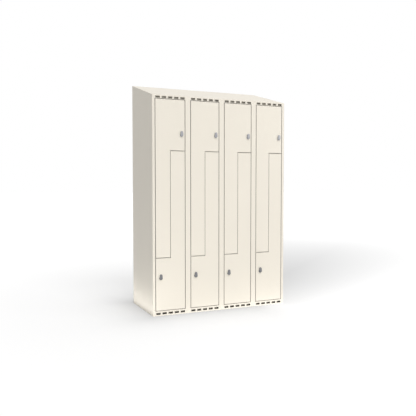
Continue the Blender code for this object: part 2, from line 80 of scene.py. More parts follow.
# Working values of the modelling
X, Y, Z = range(3)
TINY = 0.00001
SHARP_ANGLE = math.radians(35.0)
FOLD_ANGLE = math.radians(20.0)
STRIP_EDGE_ANGLE = math.radians(50.0)
EDGE_SEGMENTS = 2
TURN_TO_FRONT = Matrix.Rotation(math.radians(90.0), 4, "X")

# Faces round the turned and rounded pieces
BORE_SIDES = 24
LOCK_HOLE_SIDES = 32
ROD_SIDES = 24
CASE_SIDES = 48
PLUG_SIDES = 40
SPINDLE_SIDES = 32
HEX_SIDES = 6
LEVER_ARC_STEPS = 14
LEVER_EDGE_SEGMENTS = 4
CAM_ARC_STEPS = 12
HOOK_BEND_STEPS = 16
HOOK_TIP_SEGMENTS = 5
RIVET_SEGMENTS = 24
RIVET_RINGS = 12

# Proportions of the small parts. The rosette's rim steps inwards and down in thirds of its
# thickness. The grip's waist is in shares of the lever, the keyway in shares of the plug's
# radius, and the rivets' heights in shares of the hook's plate.
ROSETTE_RIM = ((3.0, 0.0), (2.4, 0.5), (1.6, 0.5), (0.6, 1.0), (0.0, 1.6))
GRIP_WAIST_HEIGHT = 0.25
GRIP_WAIST_WIDTH = 0.90
GRIP_WAIST_LENGTH = 0.96
KEYWAY_HALF_WIDTH = 1 / 9
KEYWAY_HALF_LENGTH = 0.62
RIVET_HEIGHTS = (0.3, 0.75)
RIVET_SQUASH = 0.45

# The range that most of a noise's values lie in
NOISE_SPREAD = (0.3, 0.7)

# Layout of a material's nodes in the editor
NODES_IN_ROW = 8
NODE_SPACING = 260.0


def metres(name, description, default):
    """A length that a user can change."""
    return FloatProperty(name=name, description=description, default=default, unit="LENGTH")


def degrees(name, description, default):
    """An angle that a user can change, with its default in degrees."""
    return FloatProperty(
        name=name, description=description, default=math.radians(default), subtype="ANGLE")


def share(name, description, default):
    """A share between 0 and 1 that a user can change."""
    return FloatProperty(
        name=name, description=description, default=default, subtype="FACTOR", min=0.0, max=1.0)


def strength(name, description, default):
    """A strength that a user can change."""
    return FloatProperty(name=name, description=description, default=default)


def number(name, description, default):
    """A count that a user can change."""
    return IntProperty(name=name, description=description, default=default, min=1)


def colour(name, description, default):
    """A linear colour that a user can change."""
    return FloatVectorProperty(
        name=name, description=description, default=default, subtype="COLOR", size=3, min=0.0,
        max=1.0)


def point(name, description, default):
    """A place that a user can change."""
    return FloatVectorProperty(
        name=name, description=description, default=default, subtype="TRANSLATION",
        unit="LENGTH", size=3)


class ZLockerSizes(bpy.types.PropertyGroup):
    """Sizes of the finished pieces that the frame's boxes don't give."""

    fold_radius: metres("Fold radius", "Outer radius of the sheet's folds", 0.0015)
    fold_segments: number("Fold segments", "Faces round each fold", 4)
    corner_wrap: metres(
        "Corner wrap", "How far a side panel's edge reaches round the corner", 0.0026)
    roof_flange: metres("Roof flange", "Height of the roof's folded edge", 0.0040)
    seam: metres("Seam", "Hairline between two sheets that butt", 0.00012)
    step_gap: metres("Step gap", "Gap between the two doors along a level step", 0.005)
    leg_gap: metres("Leg gap", "Gap between the two doors' narrow legs", 0.003)
    vent_count: number("Vents", "Slots in a rail over each column", 5)
    vent_width: metres("Vent width", "Length of a slot", 0.037)
    vent_height: metres("Vent height", "Height of a slot", 0.0162)
    vent_pitch: metres("Vent pitch", "From one slot to the next", 0.052)
    vent_corner: metres("Vent corner", "Radius of a slot's corners", 0.0025)
    top_vent_drop: metres(
        "Top vent drop", "From the front's top edge to the middle of a slot", 0.0172)
    bottom_vent_rise: metres(
        "Bottom vent rise", "From the floor to the middle of a slot", 0.0177)
    rail_lip: metres("Rail lip", "Height of the lip along the back of a rail's fold", 0.023)
    hem_width: metres("Door hem", "Inward hem round the back of a door", 0.009)
    wall_flange: metres("Wall flange", "Flange that holds a divider to the walls", 0.012)
    stop_width: metres("Stop width", "Width of the door stop behind the Z gap", 0.030)
    stop_sheet: metres("Stop sheet", "Thickness of the door stop", 0.0025)
    lug_length: metres("Lug length", "Length of a divider's hinge lug", 0.016)
    lug_sheet: metres("Lug sheet", "Thickness of a hinge lug", 0.0012)
    lug_lap: metres("Lug lap", "How far a lug laps over the divider's sheet", 0.010)
    rod_clearance: metres("Rod clearance", "Running clearance round a hinge rod", 0.0003)
    swing_clearance: metres(
        "Swing clearance", "Room between a door's swinging edge and the stop", 0.001)


class ZLockerLock(bpy.types.PropertyGroup):
    """Sizes of the locks, measured from the door's face outwards."""

    rosette_radius: metres("Rosette radius", "Radius of the round plate", 0.0135)
    rosette_thickness: metres("Rosette thickness", "Thickness of the round plate", 0.003)
    barrel_radius: metres("Barrel radius", "Radius of the threaded barrel", 0.009)
    thread_pitch: metres("Thread pitch", "From one thread to the next", 0.001)
    thread_depth: metres("Thread depth", "Depth of the thread", 0.0005)
    nut_radius: metres("Nut radius", "From the middle to a corner of the nut", 0.0125)
    nut_thickness: metres("Nut thickness", "Thickness of the nut", 0.004)
    hub_radius: metres("Hub radius", "Radius of the lever's round end", 0.0118)
    tip_radius: metres("Tip radius", "Radius of the lever's tip", 0.0100)
    lever_length: metres("Lever length", "From the turning axis to the tip's centre", 0.0215)
    lever_thickness: metres("Lever thickness", "How far the lever stands out", 0.010)
    lever_rounding: metres("Lever rounding", "Radius along the lever's front edge", 0.0022)
    plug_radius: metres("Plug radius", "Radius of the key plug in the hub", 0.0062)
    spindle_radius: metres("Spindle radius", "Radius of the spindle", 0.005)
    spindle_tail: metres("Spindle tail", "Spindle's end behind the cam", 0.003)
    cam_half_width: metres("Cam half width", "Half the width of the cam", 0.008)
    cam_sheet: metres("Cam sheet", "Thickness of the cam", 0.0025)
    cam_clearance: metres("Cam clearance", "Room between the stile and the cam", 0.0015)


class ZLockerHook(bpy.types.PropertyGroup):
    """Sizes of the bent-strip coat hooks."""

    strip: metres("Strip", "Thickness of the hook's strip", 0.0025)
    plate_height: metres("Plate height", "Height of the flat plate", 0.042)
    bend_radius: metres("Bend radius", "Outer radius of the bend", 0.016)
    bend_angle: degrees("Bend angle", "How far the strip is bent", 160.0)
    tip_length: metres("Tip length", "Straight end of the hook", 0.008)
    rivet_radius: metres("Rivet radius", "Radius of a rivet's head", 0.0038)


class ZLockerColours(bpy.types.PropertyGroup):
    """Colours of the finishes, as linear values."""

    front_paint: colour(
        "Front paint", "Powder coat of the frame and doors", (0.845, 0.793, 0.695))
    body_paint: colour("Body paint", "Powder coat of the carcass", (0.840, 0.788, 0.690))
    inner_paint: colour(
        "Inner paint", "Powder coat inside the compartments", (0.800, 0.755, 0.660))
    # Painted shade: a dark grey and its share, blended into the front coat's returns for the
    # shade in the door gaps and behind the vents
    recess_shade: colour("Primer", "Grey primer under the thin coat of the narrow returns",
                   (0.058, 0.061, 0.064))
    recess_shade_share: share(
        "Primer share", "How much primer shows through in the returns", 0.75)
    # Painted light and shade: one zinc, made lighter for the upper locks and darker for the
    # lower ones after how the light falls on them
    upper_lock_lit_zinc: colour("Upper lock", "Zinc of the upper locks", (0.365, 0.37, 0.39))
    lower_lock_shaded_zinc: colour("Lower lock", "Zinc of the lower locks", (0.235, 0.24, 0.25))
    steel: colour("Plated steel", "Zinc plate of rods and hooks", (0.58, 0.58, 0.57))
    floor: colour("Floor", "Pale floor", (0.98, 0.98, 0.98))
    floor_bounce: colour(
        "Floor bounce", "What the floor throws back on the locker", (0.60, 0.60, 0.60))


class ZLockerStudio(bpy.types.PropertyGroup):
    """Camera, lamps, and the floor's light and shade."""

    camera_place: point(
        "Camera place", "Where the camera stands", (-1.9159, -4.3131, 1.0474))
    camera_turn: degrees("Camera turn", "Turn of the view to the right of +Y", 23.935)
    camera_tilt: degrees("Camera tilt", "Tilt of the view below the horizon", 2.533)
    camera_lens: strength("Lens", "Focal length in millimetres on a 36 mm sensor", 46.66)
    sky_level: strength("Sky level", "Level of the light from all round", 0.505)
    key_level: strength("Key level", "Strength of the soft key lamp", 1.66)
    key_turn: degrees("Key turn", "Turn of the key lamp to the left of the doors", 0.0)
    key_height: degrees("Key height", "Height of the key lamp over the horizon", 41.0)
    key_softness: degrees(
        "Key softness", "Width of the key lamp as seen from the locker", 40.0)
    fill_place: point("Fill place", "Where the fill lamp stands", (2.2, -2.0, 2.2))
    fill_size: metres("Fill size", "Width of the fill lamp", 1.0)
    fill_level: strength("Fill level", "Power of the fill lamp in watts", 10.0)
    side_glow: strength(
        "Side glow", "Light that the floor throws on the left side's foot", 6.1)
    side_glow_start: metres(
        "Side glow start", "Gap between the left side and the glowing floor", 0.064)
    side_glow_reach: metres(
        "Side glow reach", "Width of the glowing floor on the left", 0.08)
    front_glow: strength(
        "Front glow", "Light that the floor throws on the left door's foot", 0.35)
    right_glow: strength(
        "Right glow", "Light that the floor throws on the right door's foot", 0.85)
    front_glow_reach: metres(
        "Front glow reach", "How far before the doors the floor glows", 0.32)
    floor_size: metres("Floor size", "Half the width of the floor", 60.0)
    floor_white: share("Floor white", "Share of plain white in the floor by the locker", 0.5)
    white_level: strength("White level", "Level of the plain white in the floor", 1.12)
    floor_fade_start: metres("Fade start", "Where the floor starts to fade to white", 1.5)
    floor_fade_end: metres("Fade end", "Where the floor is white", 6.0)
    contact_shade: share(
        "Contact shade", "How dark the floor is along the locker's foot", 0.35)
    contact_reach: metres("Contact reach", "How fast the contact shade fades", 0.22)
    soft_shadow: share(
        "Soft shadow", "How dark the wide shadow behind the locker is", 0.33)
    shadow_reach: metres(
        "Shadow reach", "How far behind the locker the soft shadow goes", 7.7)


# Objects

def piece_collection():
    """The collection that holds the finished pieces."""
    collection = bpy.data.collections.get("z_locker_pieces")
    if collection is None:
        collection = bpy.data.collections.new("z_locker_pieces")
        bpy.context.scene.collection.children.link(collection)
    return collection


def object_from(bm, name):
    """The bmesh as an object in the pieces' collection."""
    mesh = bpy.data.meshes.new(name)
    bm.to_mesh(mesh)
    bm.free()
    obj = bpy.data.objects.new(name, mesh)
    piece_collection().objects.link(obj)
    return obj


def bake(obj):
    """Put the modifiers' result in the object's mesh."""
    bpy.context.view_layer.update()
    evaluated = obj.evaluated_get(bpy.context.evaluated_depsgraph_get())
    mesh = bpy.data.meshes.new_from_object(evaluated)
    plain = obj.data
    obj.modifiers.clear()
    obj.data = mesh
    bpy.data.meshes.remove(plain)
    mesh.name = obj.name


def sheet_from(bm, name, sheet=SHEET, offset=-1.0):
    """An open surface as an object of solid sheet, under the surface unless offset."""
    obj = object_from(bm, name)
    solidify = obj.modifiers.new("sheet", "SOLIDIFY")
    solidify.thickness = sheet
    solidify.offset = offset
    solidify.use_even_offset = True
    bake(obj)
    return obj


def combine(obj, others, operation):
    """Cut or join other shapes, which are used up."""
    for other in others:
        boolean = obj.modifiers.new(operation.lower(), "BOOLEAN")
        boolean.operation = operation
        boolean.solver = "EXACT"
        boolean.object = other
    bake(obj)
    for other in others:
        bpy.data.objects.remove(other, do_unlink=True)


def take_mesh(bm, obj):
    """Add an object's mesh to a bmesh. The object is used up."""
    bm.from_mesh(obj.data)
    bpy.data.objects.remove(obj, do_unlink=True)


def settle_normals(obj):
    """Smooth folds between flat faces, with the cut edges kept sharp."""
    obj.data.shade_smooth()
    obj.data.set_sharp_from_angle(angle=SHARP_ANGLE)
    weighted = obj.modifiers.new("weighted", "WEIGHTED_NORMAL")
    weighted.keep_sharp = True
    bake(obj)
    return obj


def dress(obj, finish_name, slot, body, *nodes):
    """Give a piece its finish and its body, and hide the CAD nodes that it stands for."""
    obj.data.materials.clear()
    obj.data.materials.append(finish(finish_name))
    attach(obj, body)
    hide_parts(*nodes)


# Shapes

def lies_at(edge, axis, place):
    """Whether an edge lies at one place on an axis."""
    return all(abs(vert.co[axis] - place) < TINY for vert in edge.verts)


def run_of(edge, axis):
    """How far an edge runs along an axis."""
    first, second = edge.verts
    return abs(first.co[axis] - second.co[axis])


def edges_of(verts):
    """All edges at the given vertices."""
    return list(dict.fromkeys(edge for vert in verts for edge in vert.link_edges))


def move_new(bm, geom, vec):
    """Move the vertices of a new extrusion, and return them."""
    verts = [item for item in geom if isinstance(item, bmesh.types.BMVert)]
    bmesh.ops.translate(bm, verts=verts, vec=vec)
    return verts


def pull_edges(bm, edges, vec):
    """Extrude edges along a vector."""
    move_new(bm, bmesh.ops.extrude_edge_only(bm, edges=edges)["geom"], vec)


def pull_face(bm, face, vec):
    """Extrude a face along a vector. Returns the moved vertices."""
    return move_new(bm, bmesh.ops.extrude_face_region(bm, geom=[face])["geom"], vec)


def add_box(bm, low, high):
    """A box between two corners."""
    low = Vector(low)
    high = Vector(high)
    matrix = Matrix.Translation((low + high) / 2) @ Matrix.Diagonal((*(high - low), 1.0))
    bmesh.ops.create_cube(bm, size=1.0, matrix=matrix)


def add_cylinder(bm, radius, sides, base, top):
    """A cylinder between two points. Returns its vertices."""
    base = Vector(base)
    top = Vector(top)
    turn = (top - base).to_track_quat("Z", "Y").to_matrix().to_4x4()
    return bmesh.ops.create_cone(
        bm, cap_ends=True, segments=sides, radius1=radius, radius2=radius,
        depth=(top - base).length, matrix=Matrix.Translation((base + top) / 2) @ turn)["verts"]


def add_hexagon(bm, radius, low_z, high_z, rounding):
    """A nut or a bolt's head round local Z, its edges eased."""
    verts = add_cylinder(bm, radius, HEX_SIDES, (0.0, 0.0, low_z), (0.0, 0.0, high_z))
    round_edges(bm, edges_of(verts), rounding, EDGE_SEGMENTS)


def add_prism(bm, outline, low_z, high_z):
    """A flat outline in the XY plane, extruded from one height to another."""
    verts = [bm.verts.new((x, y, low_z)) for x, y in outline]
    verts += pull_face(bm, bm.faces.new(verts), (0.0, 0.0, high_z - low_z))
    faces = list(dict.fromkeys(face for vert in verts for face in vert.link_faces))
    bmesh.ops.recalc_face_normals(bm, faces=faces)
    return verts


def turned(profile, steps, closed=False):
    """A bmesh spun round local Z from an outline of (radius, height)."""
    bm = bmesh.new()
    verts = [bm.verts.new((radius, 0.0, z)) for radius, z in profile]
    followers = verts[1:] + verts[:1] if closed else verts[1:]
    edges = [bm.edges.new(pair) for pair in zip(verts, followers)]
    bmesh.ops.spin(
        bm, geom=verts + edges, cent=(0.0, 0.0, 0.0), axis=(0.0, 0.0, 1.0), dvec=(0.0, 0.0, 0.0),
        angle=math.tau, steps=steps, use_merge=True, use_duplicate=False)
    bmesh.ops.remove_doubles(bm, verts=bm.verts, dist=TINY)
    bmesh.ops.recalc_face_normals(bm, faces=bm.faces)
    return bm


def cut_line(bm, place, normal, clear=False):
    """Cut all faces along a plane, and drop what lies beyond it if asked."""
    geom = bm.verts[:] + bm.edges[:] + bm.faces[:]
    bmesh.ops.bisect_plane(
        bm, geom=geom, dist=TINY, plane_co=place, plane_no=normal, clear_outer=clear)


def face_outward(bm, direction):
    """Turn an open surface so that its outermost face along direction looks that way."""
    direction = Vector(direction)
    bmesh.ops.recalc_face_normals(bm, faces=bm.faces)
    bm.normal_update()
    outermost = max(bm.faces, key=lambda face: face.calc_center_median().dot(direction))
    if outermost.normal.dot(direction) < 0.0:
        bmesh.ops.reverse_faces(bm, faces=bm.faces)
        bm.normal_update()


def round_edges(bm, edges, radius, segments):
    """Round the given edges."""
    bmesh.ops.bevel(
        bm, geom=edges, offset=radius, offset_type="OFFSET", segments=segments, profile=0.5,
        affect="EDGES", clamp_overlap=True, material=-1)


def round_folds(bm, sizes):
    """Round every fold of a sheet that stands out, and leave its inward corners crisp."""
    folds = [edge for edge in bm.edges
             if len(edge.link_faces) == 2 and edge.is_convex
             and edge.calc_face_angle() > FOLD_ANGLE]
    round_edges(bm, folds, sizes.fold_radius, sizes.fold_segments)


def sheet_surface(path, sweep, direction):
    """An open surface: a path of folds swept along a straight line."""
    bm = bmesh.new()
    verts = [bm.verts.new(place) for place in path]
    edges = [bm.edges.new(pair) for pair in zip(verts, verts[1:])]
    pull_edges(bm, edges, sweep)
    face_outward(bm, direction)
    return bm


def tapered_outline(hub_radius, tip_radius, length, steps):
    """The outline round two circles, the hub at the origin and the tip above it."""
    lean = math.asin((hub_radius - tip_radius) / length)
    points = []
    for step in range(steps + 1):
        angle = lean + (math.pi - 2 * lean) * step / steps
        points.append((tip_radius * math.cos(angle), length + tip_radius * math.sin(angle)))
    for step in range(steps + 1):
        angle = math.pi - lean + (math.pi + 2 * lean) * step / steps
        points.append((hub_radius * math.cos(angle), hub_radius * math.sin(angle)))
    return points


# Places on the locker

def trim_to_roof(bm, sizes):
    """Cut a sheet's top along the roof, a seam below the roof's folded edge."""
    drop = sizes.roof_flange + sizes.seam
    normal = Vector((0.0, -ROOF_SLOPE, 1.0)).normalized()
    cut_line(bm, (0.0, BACK_Y, HEIGHT_BACK - drop), normal, clear=True)


def between_wraps(sizes):
    """Left and right end of a sheet that butts against the side panels' folded edges."""
    inset = sizes.corner_wrap + sizes.seam
    return LEFT_X + inset, RIGHT_X - inset


def columns():
    """The numbers of the columns."""
    return range(1, COLUMNS + 1)


def compartments():
    """Level and column of every compartment."""
    return [(level, column) for level in LEVELS for column in columns()]


def door_opening(column):
    """Left, right, bottom and top of the opening round one column's two doors."""
    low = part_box(f"lower_door_{column}")[0]
    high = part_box(f"upper_door_{column}")[1]
    return low.x - SIDE_GAP, high.x + SIDE_GAP, low.z - RAIL_GAP, high.z + RAIL_GAP


def z_steps(sizes, column):
    """Middle of the Z gap: x of its upright run, height of its lower and upper step."""
    left, right, _, _ = door_opening(column)
    lower_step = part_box(f"upper_door_{column}")[0].z - sizes.step_gap / 2
    upper_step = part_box(f"lower_door_{column}")[1].z + sizes.step_gap / 2
    return (left + right) / 2, lower_step, upper_step


def door_outline(sizes, level, column):
    """Corners of a door's front as (x, z). The narrow leg is on the hinge side."""
    low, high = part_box(f"{level}_door_{column}")
    middle, lower_step, upper_step = z_steps(sizes, column)
    if level == "upper":
        leg_edge = middle - sizes.leg_gap / 2
        step = upper_step + sizes.step_gap / 2
        return [(low.x, low.z), (leg_edge, low.z), (leg_edge, step), (high.x, step),
                (high.x, high.z), (low.x, high.z)]
    leg_edge = middle + sizes.leg_gap / 2
    step = lower_step - sizes.step_gap / 2
    return [(low.x, low.z), (high.x, low.z), (high.x, high.z), (leg_edge, high.z),
            (leg_edge, step), (low.x, step)]


def middle_of(node):
    """Middle of a node's box."""
    low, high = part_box(node)
    return (low + high) / 2


def lock_place(level, column):
    """Point on a lock's turning axis, on the door's face."""
    middle = middle_of(f"lock_case_{level}_{column}")
    return Vector((middle.x, FRONT_Y, middle.z))


def place_on_door(bm, place):
    """Turn a lock's axis to face out of the door, and move it there."""
    bmesh.ops.transform(bm, matrix=Matrix.Translation(place) @ TURN_TO_FRONT, verts=bm.verts)


def rod_bores(sizes, pairs):
    """Bores for the hinge rods of the given levels and columns."""
    bm = bmesh.new()
    for level, column in pairs:
        low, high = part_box(f"hinge_rod_{level}_{column}")
        axis = (low + high) / 2
        radius = (high.x - low.x) / 2 + sizes.rod_clearance
        add_cylinder(bm, radius, BORE_SIDES, (axis.x, axis.y, low.z - sizes.seam),
                     (axis.x, axis.y, high.z + SHEET))
    return object_from(bm, "rod_bores")


# Nodes of the finishes

def add_node(tree, kind, **values):
    """Add a node beside the last one, with its settings."""
    node = tree.nodes.new(kind)
    row, place = divmod(len(tree.nodes), NODES_IN_ROW)
    node.location = (place * NODE_SPACING, -(row + 1) * NODE_SPACING)
    for name, value in values.items():
        setattr(node, name, value)
    return node


def new_material(name):
    """A new material, its node tree, and the coordinates of the piece that wears it."""
    material = bpy.data.materials.new(name)
    material.use_nodes = True
    tree = material.node_tree
    return material, tree, add_node(tree, "ShaderNodeTexCoord").outputs["Object"]


def axes_of(tree, coordinates):
    """The single axes of some coordinates."""
    axes = add_node(tree, "ShaderNodeSeparateXYZ")
    tree.links.new(coordinates, axes.inputs["Vector"])
    return axes.outputs


def math_node(tree, operation, first, second=None):
    """Add a Math node. An input is a socket or a number."""
    node = add_node(tree, "ShaderNodeMath", operation=operation)
    for socket, value in zip(node.inputs, (first, second)):
        if isinstance(value, bpy.types.NodeSocket):
            tree.links.new(value, socket)
        elif value is not None:
            socket.default_value = value
    return node.outputs["Value"]


def length_of(tree, first, second):
    """The distance that two distances at a right angle give."""
    squares = [math_node(tree, "MULTIPLY", value, value) for value in (first, second)]
    return math_node(tree, "SQRT", math_node(tree, "ADD", *squares))


def noise_node(tree, vector, scale, detail):
    """Add a Noise Texture on the given coordinates."""
    noise = add_node(tree, "ShaderNodeTexNoise")
    noise.inputs["Scale"].default_value = scale
    noise.inputs["Detail"].default_value = detail
    tree.links.new(vector, noise.inputs["Vector"])
    return noise.outputs["Fac"]


def range_node(tree, value, source, target):
    """Map a value from one range to another."""
    node = add_node(tree, "ShaderNodeMapRange")
    ends = ("From Min", "From Max", "To Min", "To Max")
    for end, limit in zip(ends, (*source, *target)):
        node.inputs[end].default_value = limit
    tree.links.new(value, node.inputs["Value"])
    return node.outputs["Result"]


def blend_node(tree, factor, first, second):
    """Mix two colours by a factor. A colour is a socket or its three values."""
    mix = add_node(tree, "ShaderNodeMix", data_type="RGBA")
    tree.links.new(factor, mix.inputs["Factor"])
    for name, value in (("A", first), ("B", second)):
        if isinstance(value, bpy.types.NodeSocket):
            tree.links.new(value, mix.inputs[name])
        else:
            mix.inputs[name].default_value = (*value, 1.0)
    return mix.outputs["Result"]


def bump_node(tree, height, amount, distance, below=None):
    """Add a Bump node, over another one if given."""
    bump = add_node(tree, "ShaderNodeBump")
    bump.inputs["Strength"].default_value = amount
    bump.inputs["Distance"].default_value = distance
    tree.links.new(height, bump.inputs["Height"])
    if below is not None:
        tree.links.new(below, bump.inputs["Normal"])
    return bump.outputs["Normal"]


def join_shaders(tree, kind, first, second):
    """Mix or add two shaders. Returns the node."""
    node = add_node(tree, kind)
    for socket, shader in zip(node.inputs[-2:], (first, second)):
        tree.links.new(shader.outputs[0], socket)
    return node


def shaded(tint, level):
    """A colour made lighter or darker."""
    return [min(1.0, channel * level) for channel in tint]


# Finishes

def set_surface(tree, metallic, tint, roughness, normal):
    """Give a material's shader its colour, roughness and relief. Returns the shader."""
    shader = tree.nodes["Principled BSDF"]
    shader.inputs["Metallic"].default_value = metallic
    for name, value in (("Base Color", tint), ("Roughness", roughness), ("Normal", normal)):
        tree.links.new(value, shader.inputs[name])
    return shader


def weld_dimples(tree, coordinates):
    """Height of the rows of spot welds behind the partitions: 0 in a dimple, 1 outside."""
    pitch = 0.12
    rim_radius = 0.0035
    floor_radius = 0.3 * rim_radius
    spacing = (RIGHT_X - LEFT_X) / COLUMNS
    axes = axes_of(tree, coordinates)
    across = math_node(tree, "PINGPONG", axes["X"], spacing / 2)
    along = math_node(tree, "PINGPONG", axes["Z"], pitch / 2)
    distance = length_of(tree, across, along)
    return range_node(tree, distance, (floor_radius, rim_radius), (0.0, 1.0))


def painted_recess_shade(tree, coordinates, coat, recess_shade, recess_shade_share):
    """Painted shade: the coat darkens to a dark grey in the returns behind the front face, less
    on the deepest folds.
    """
    shade_from, shade_full_at = FRONT_Y + 1.2 * SHEET, FRONT_Y + 4 * SHEET
    ease_from, eased_at = FRONT_Y + 13 * SHEET, FRONT_Y + 17 * SHEET
    eased_share = 0.4
    depth = axes_of(tree, coordinates)["Y"]
    recess_darkening = range_node(tree, depth, (shade_from, shade_full_at), (0.0, recess_shade_share))
    deep_easing = range_node(tree, depth, (ease_from, eased_at), (1.0, eased_share))
    return blend_node(tree, math_node(tree, "MULTIPLY", recess_darkening, deep_easing), coat, recess_shade)


def powder_coat(name, paint, welds=False, recess_shading=None):
    """Satin powder coat: fine orange peel, a slight drift of colour and of gloss."""
    material, tree, coordinates = new_material(name)
    drift = noise_node(tree, coordinates, scale=3.5, detail=2.0)
    tint = blend_node(tree, drift, shaded(paint, 0.985), shaded(paint, 1.015))
    # Painted shade in the returns behind the front face
    if recess_shading:
        tint = painted_recess_shade(tree, coordinates, tint, *recess_shading)
    speckle = noise_node(tree, coordinates, scale=160.0, detail=3.0)
    roughness = range_node(tree, speckle, NOISE_SPREAD, (0.44, 0.54))
    peel = noise_node(tree, coordinates, scale=420.0, detail=2.0)
    normal = bump_node(tree, peel, amount=0.22, distance=0.00012)
    if welds:
        dimples = weld_dimples(tree, coordinates)
        normal = bump_node(tree, dimples, amount=0.7, distance=0.0004, below=normal)
    shader = set_surface(tree, 0.0, tint, roughness, normal)
    shader.inputs["Specular IOR Level"].default_value = 0.35
    return material


def cast_zinc(name, zinc):
    """Satin zinc casting: fine grain, dulled in patches."""
    material, tree, coordinates = new_material(name)
    cloud = noise_node(tree, coordinates, scale=90.0, detail=3.0)
    tint = blend_node(tree, cloud, shaded(zinc, 0.88), shaded(zinc, 1.10))
    roughness = range_node(tree, cloud, NOISE_SPREAD, (0.30, 0.44))
    grain = noise_node(tree, coordinates, scale=2600.0, detail=2.0)
    normal = bump_node(tree, grain, amount=0.25, distance=0.00004)
    set_surface(tree, 1.0, tint, roughness, normal)
    return material


def drawn_steel(name, steel):
    """Zinc-plated drawn steel: faint streaks along the length and spangle."""
    material, tree, coordinates = new_material(name)
    stretch = add_node(tree, "ShaderNodeMapping")
    stretch.inputs["Scale"].default_value = (1.0, 1.0, 0.04)
    tree.links.new(coordinates, stretch.inputs["Vector"])
    streaks = noise_node(tree, stretch.outputs["Vector"], scale=1500.0, detail=3.0)
    spangle = noise_node(tree, coordinates, scale=240.0, detail=2.0)
    tint = blend_node(tree, spangle, shaded(steel, 0.9), shaded(steel, 1.08))
    roughness = range_node(tree, streaks, NOISE_SPREAD, (0.26, 0.44))
    normal = bump_node(tree, streaks, amount=0.3, distance=0.00003)
    set_surface(tree, 1.0, tint, roughness, normal)
    return material


def finish(name):
    """A finish by name, made when it is first asked for."""
    made = bpy.data.materials.get(name)
    if made is not None:
        return made
    colours = bpy.context.scene.z_locker_colours
    # Painted shade that the front coat blends into its returns
    recess_shading = (colours.recess_shade, colours.recess_shade_share)
    makers = {
        "front_powder_coat": lambda: powder_coat(name, colours.front_paint, recess_shading=recess_shading),
        "body_powder_coat": lambda: powder_coat(name, colours.body_paint),
        "back_powder_coat": lambda: powder_coat(name, colours.body_paint, welds=True),
        "inner_powder_coat": lambda: powder_coat(name, colours.inner_paint),
        # Painted light and shade: the upper and lower locks wear a lit and a shaded copy of one
        # zinc
        "upper_cast_zinc": lambda: cast_zinc(name, colours.upper_lock_lit_zinc),
        "lower_cast_zinc": lambda: cast_zinc(name, colours.lower_lock_shaded_zinc),
        "drawn_zinc_steel": lambda: drawn_steel(name, colours.steel),
    }
    return makers[name]()


# Carcass

def side_panel(sizes, name, outer_x, towards):
    """A side panel, its front and back edges folded round the corners."""
    lip_x = outer_x + towards * sizes.corner_wrap
    path = [(lip_x, BACK_Y, 0.0), (outer_x, BACK_Y, 0.0), (outer_x, FRONT_Y, 0.0),
            (lip_x, FRONT_Y, 0.0)]
    bm = sheet_surface(path, (0.0, 0.0, HEIGHT_BACK), (-towards, 0.0, 0.0))
    round_folds(bm, sizes)
    trim_to_roof(bm, sizes)
    return settle_normals(sheet_from(bm, name))


def roof_sheet(sizes):
    """The sloping roof, folded down a little along all four edges."""
    bm = bmesh.new()
    corners = [(LEFT_X, FRONT_Y, HEIGHT_FRONT), (RIGHT_X, FRONT_Y, HEIGHT_FRONT),
               (RIGHT_X, BACK_Y, HEIGHT_BACK), (LEFT_X, BACK_Y, HEIGHT_BACK)]
    face = bm.faces.new([bm.verts.new(corner) for corner in corners])
    pull_edges(bm, face.edges[:], (0.0, 0.0, -sizes.roof_flange))
    face_outward(bm, (0.0, 0.0, 1.0))
    round_folds(bm, sizes)
    return settle_normals(sheet_from(bm, "sloping_roof_sheet"))


def back_sheet(sizes):
    """The back panel between the side panels' folded edges."""
    left, right = between_wraps(sizes)
    path = [(left, BACK_Y, 0.0), (right, BACK_Y, 0.0)]
    bm = sheet_surface(path, (0.0, 0.0, HEIGHT_BACK), (0.0, 1.0, 0.0))
    trim_to_roof(bm, sizes)
    return settle_normals(sheet_from(bm, "back_sheet"))


def vent_punches(sizes, name, middle_z):
    """The row of rounded slots of one rail."""
    bm = bmesh.new()
    half_width, half_height = sizes.vent_width / 2, sizes.vent_height / 2
    for column in columns():
        left, right, _, _ = door_opening(column)
        for slot in range(sizes.vent_count):
            x = (left + right) / 2 + (slot - (sizes.vent_count - 1) / 2) * sizes.vent_pitch
            add_box(bm, (x - half_width, FRONT_Y - SHEET, middle_z - half_height),
                    (x + half_width, FRONT_Y + 2 * SHEET, middle_z + half_height))
    corners = [edge for edge in bm.edges if run_of(edge, Y) > SHEET]
    round_edges(bm, corners, sizes.vent_corner, sizes.fold_segments)
    return object_from(bm, name)


def close_stiles(bm, back_y):
    """Close the backs of the uprights between the openings and beside them."""
    uprights = [edge for edge in bm.edges
                if lies_at(edge, Y, back_y) and run_of(edge, X) < TINY]
    uprights.sort(key=lambda edge: edge.verts[0].co.x)
    for first, second in zip(uprights[1:-1:2], uprights[2:-1:2]):
        bmesh.ops.bridge_loops(bm, edges=[first, second])
    inner = SHEET + FIT_GAP
    for edge, x in ((uprights[0], LEFT_X + inner), (uprights[-1], RIGHT_X - inner)):
        pull_edges(bm, [edge], (x - edge.verts[0].co.x, 0.0, 0.0))


def turn_lips(bm, edges, lip):
    """Turn the rails' folds up behind the top vents and down behind the bottom ones."""
    middle_z = sum(edge.verts[0].co.z for edge in edges) / len(edges)
    for edge in edges:
        rise = lip if edge.verts[0].co.z > middle_z else -lip
        pull_edges(bm, [edge], (0.0, 0.0, rise))


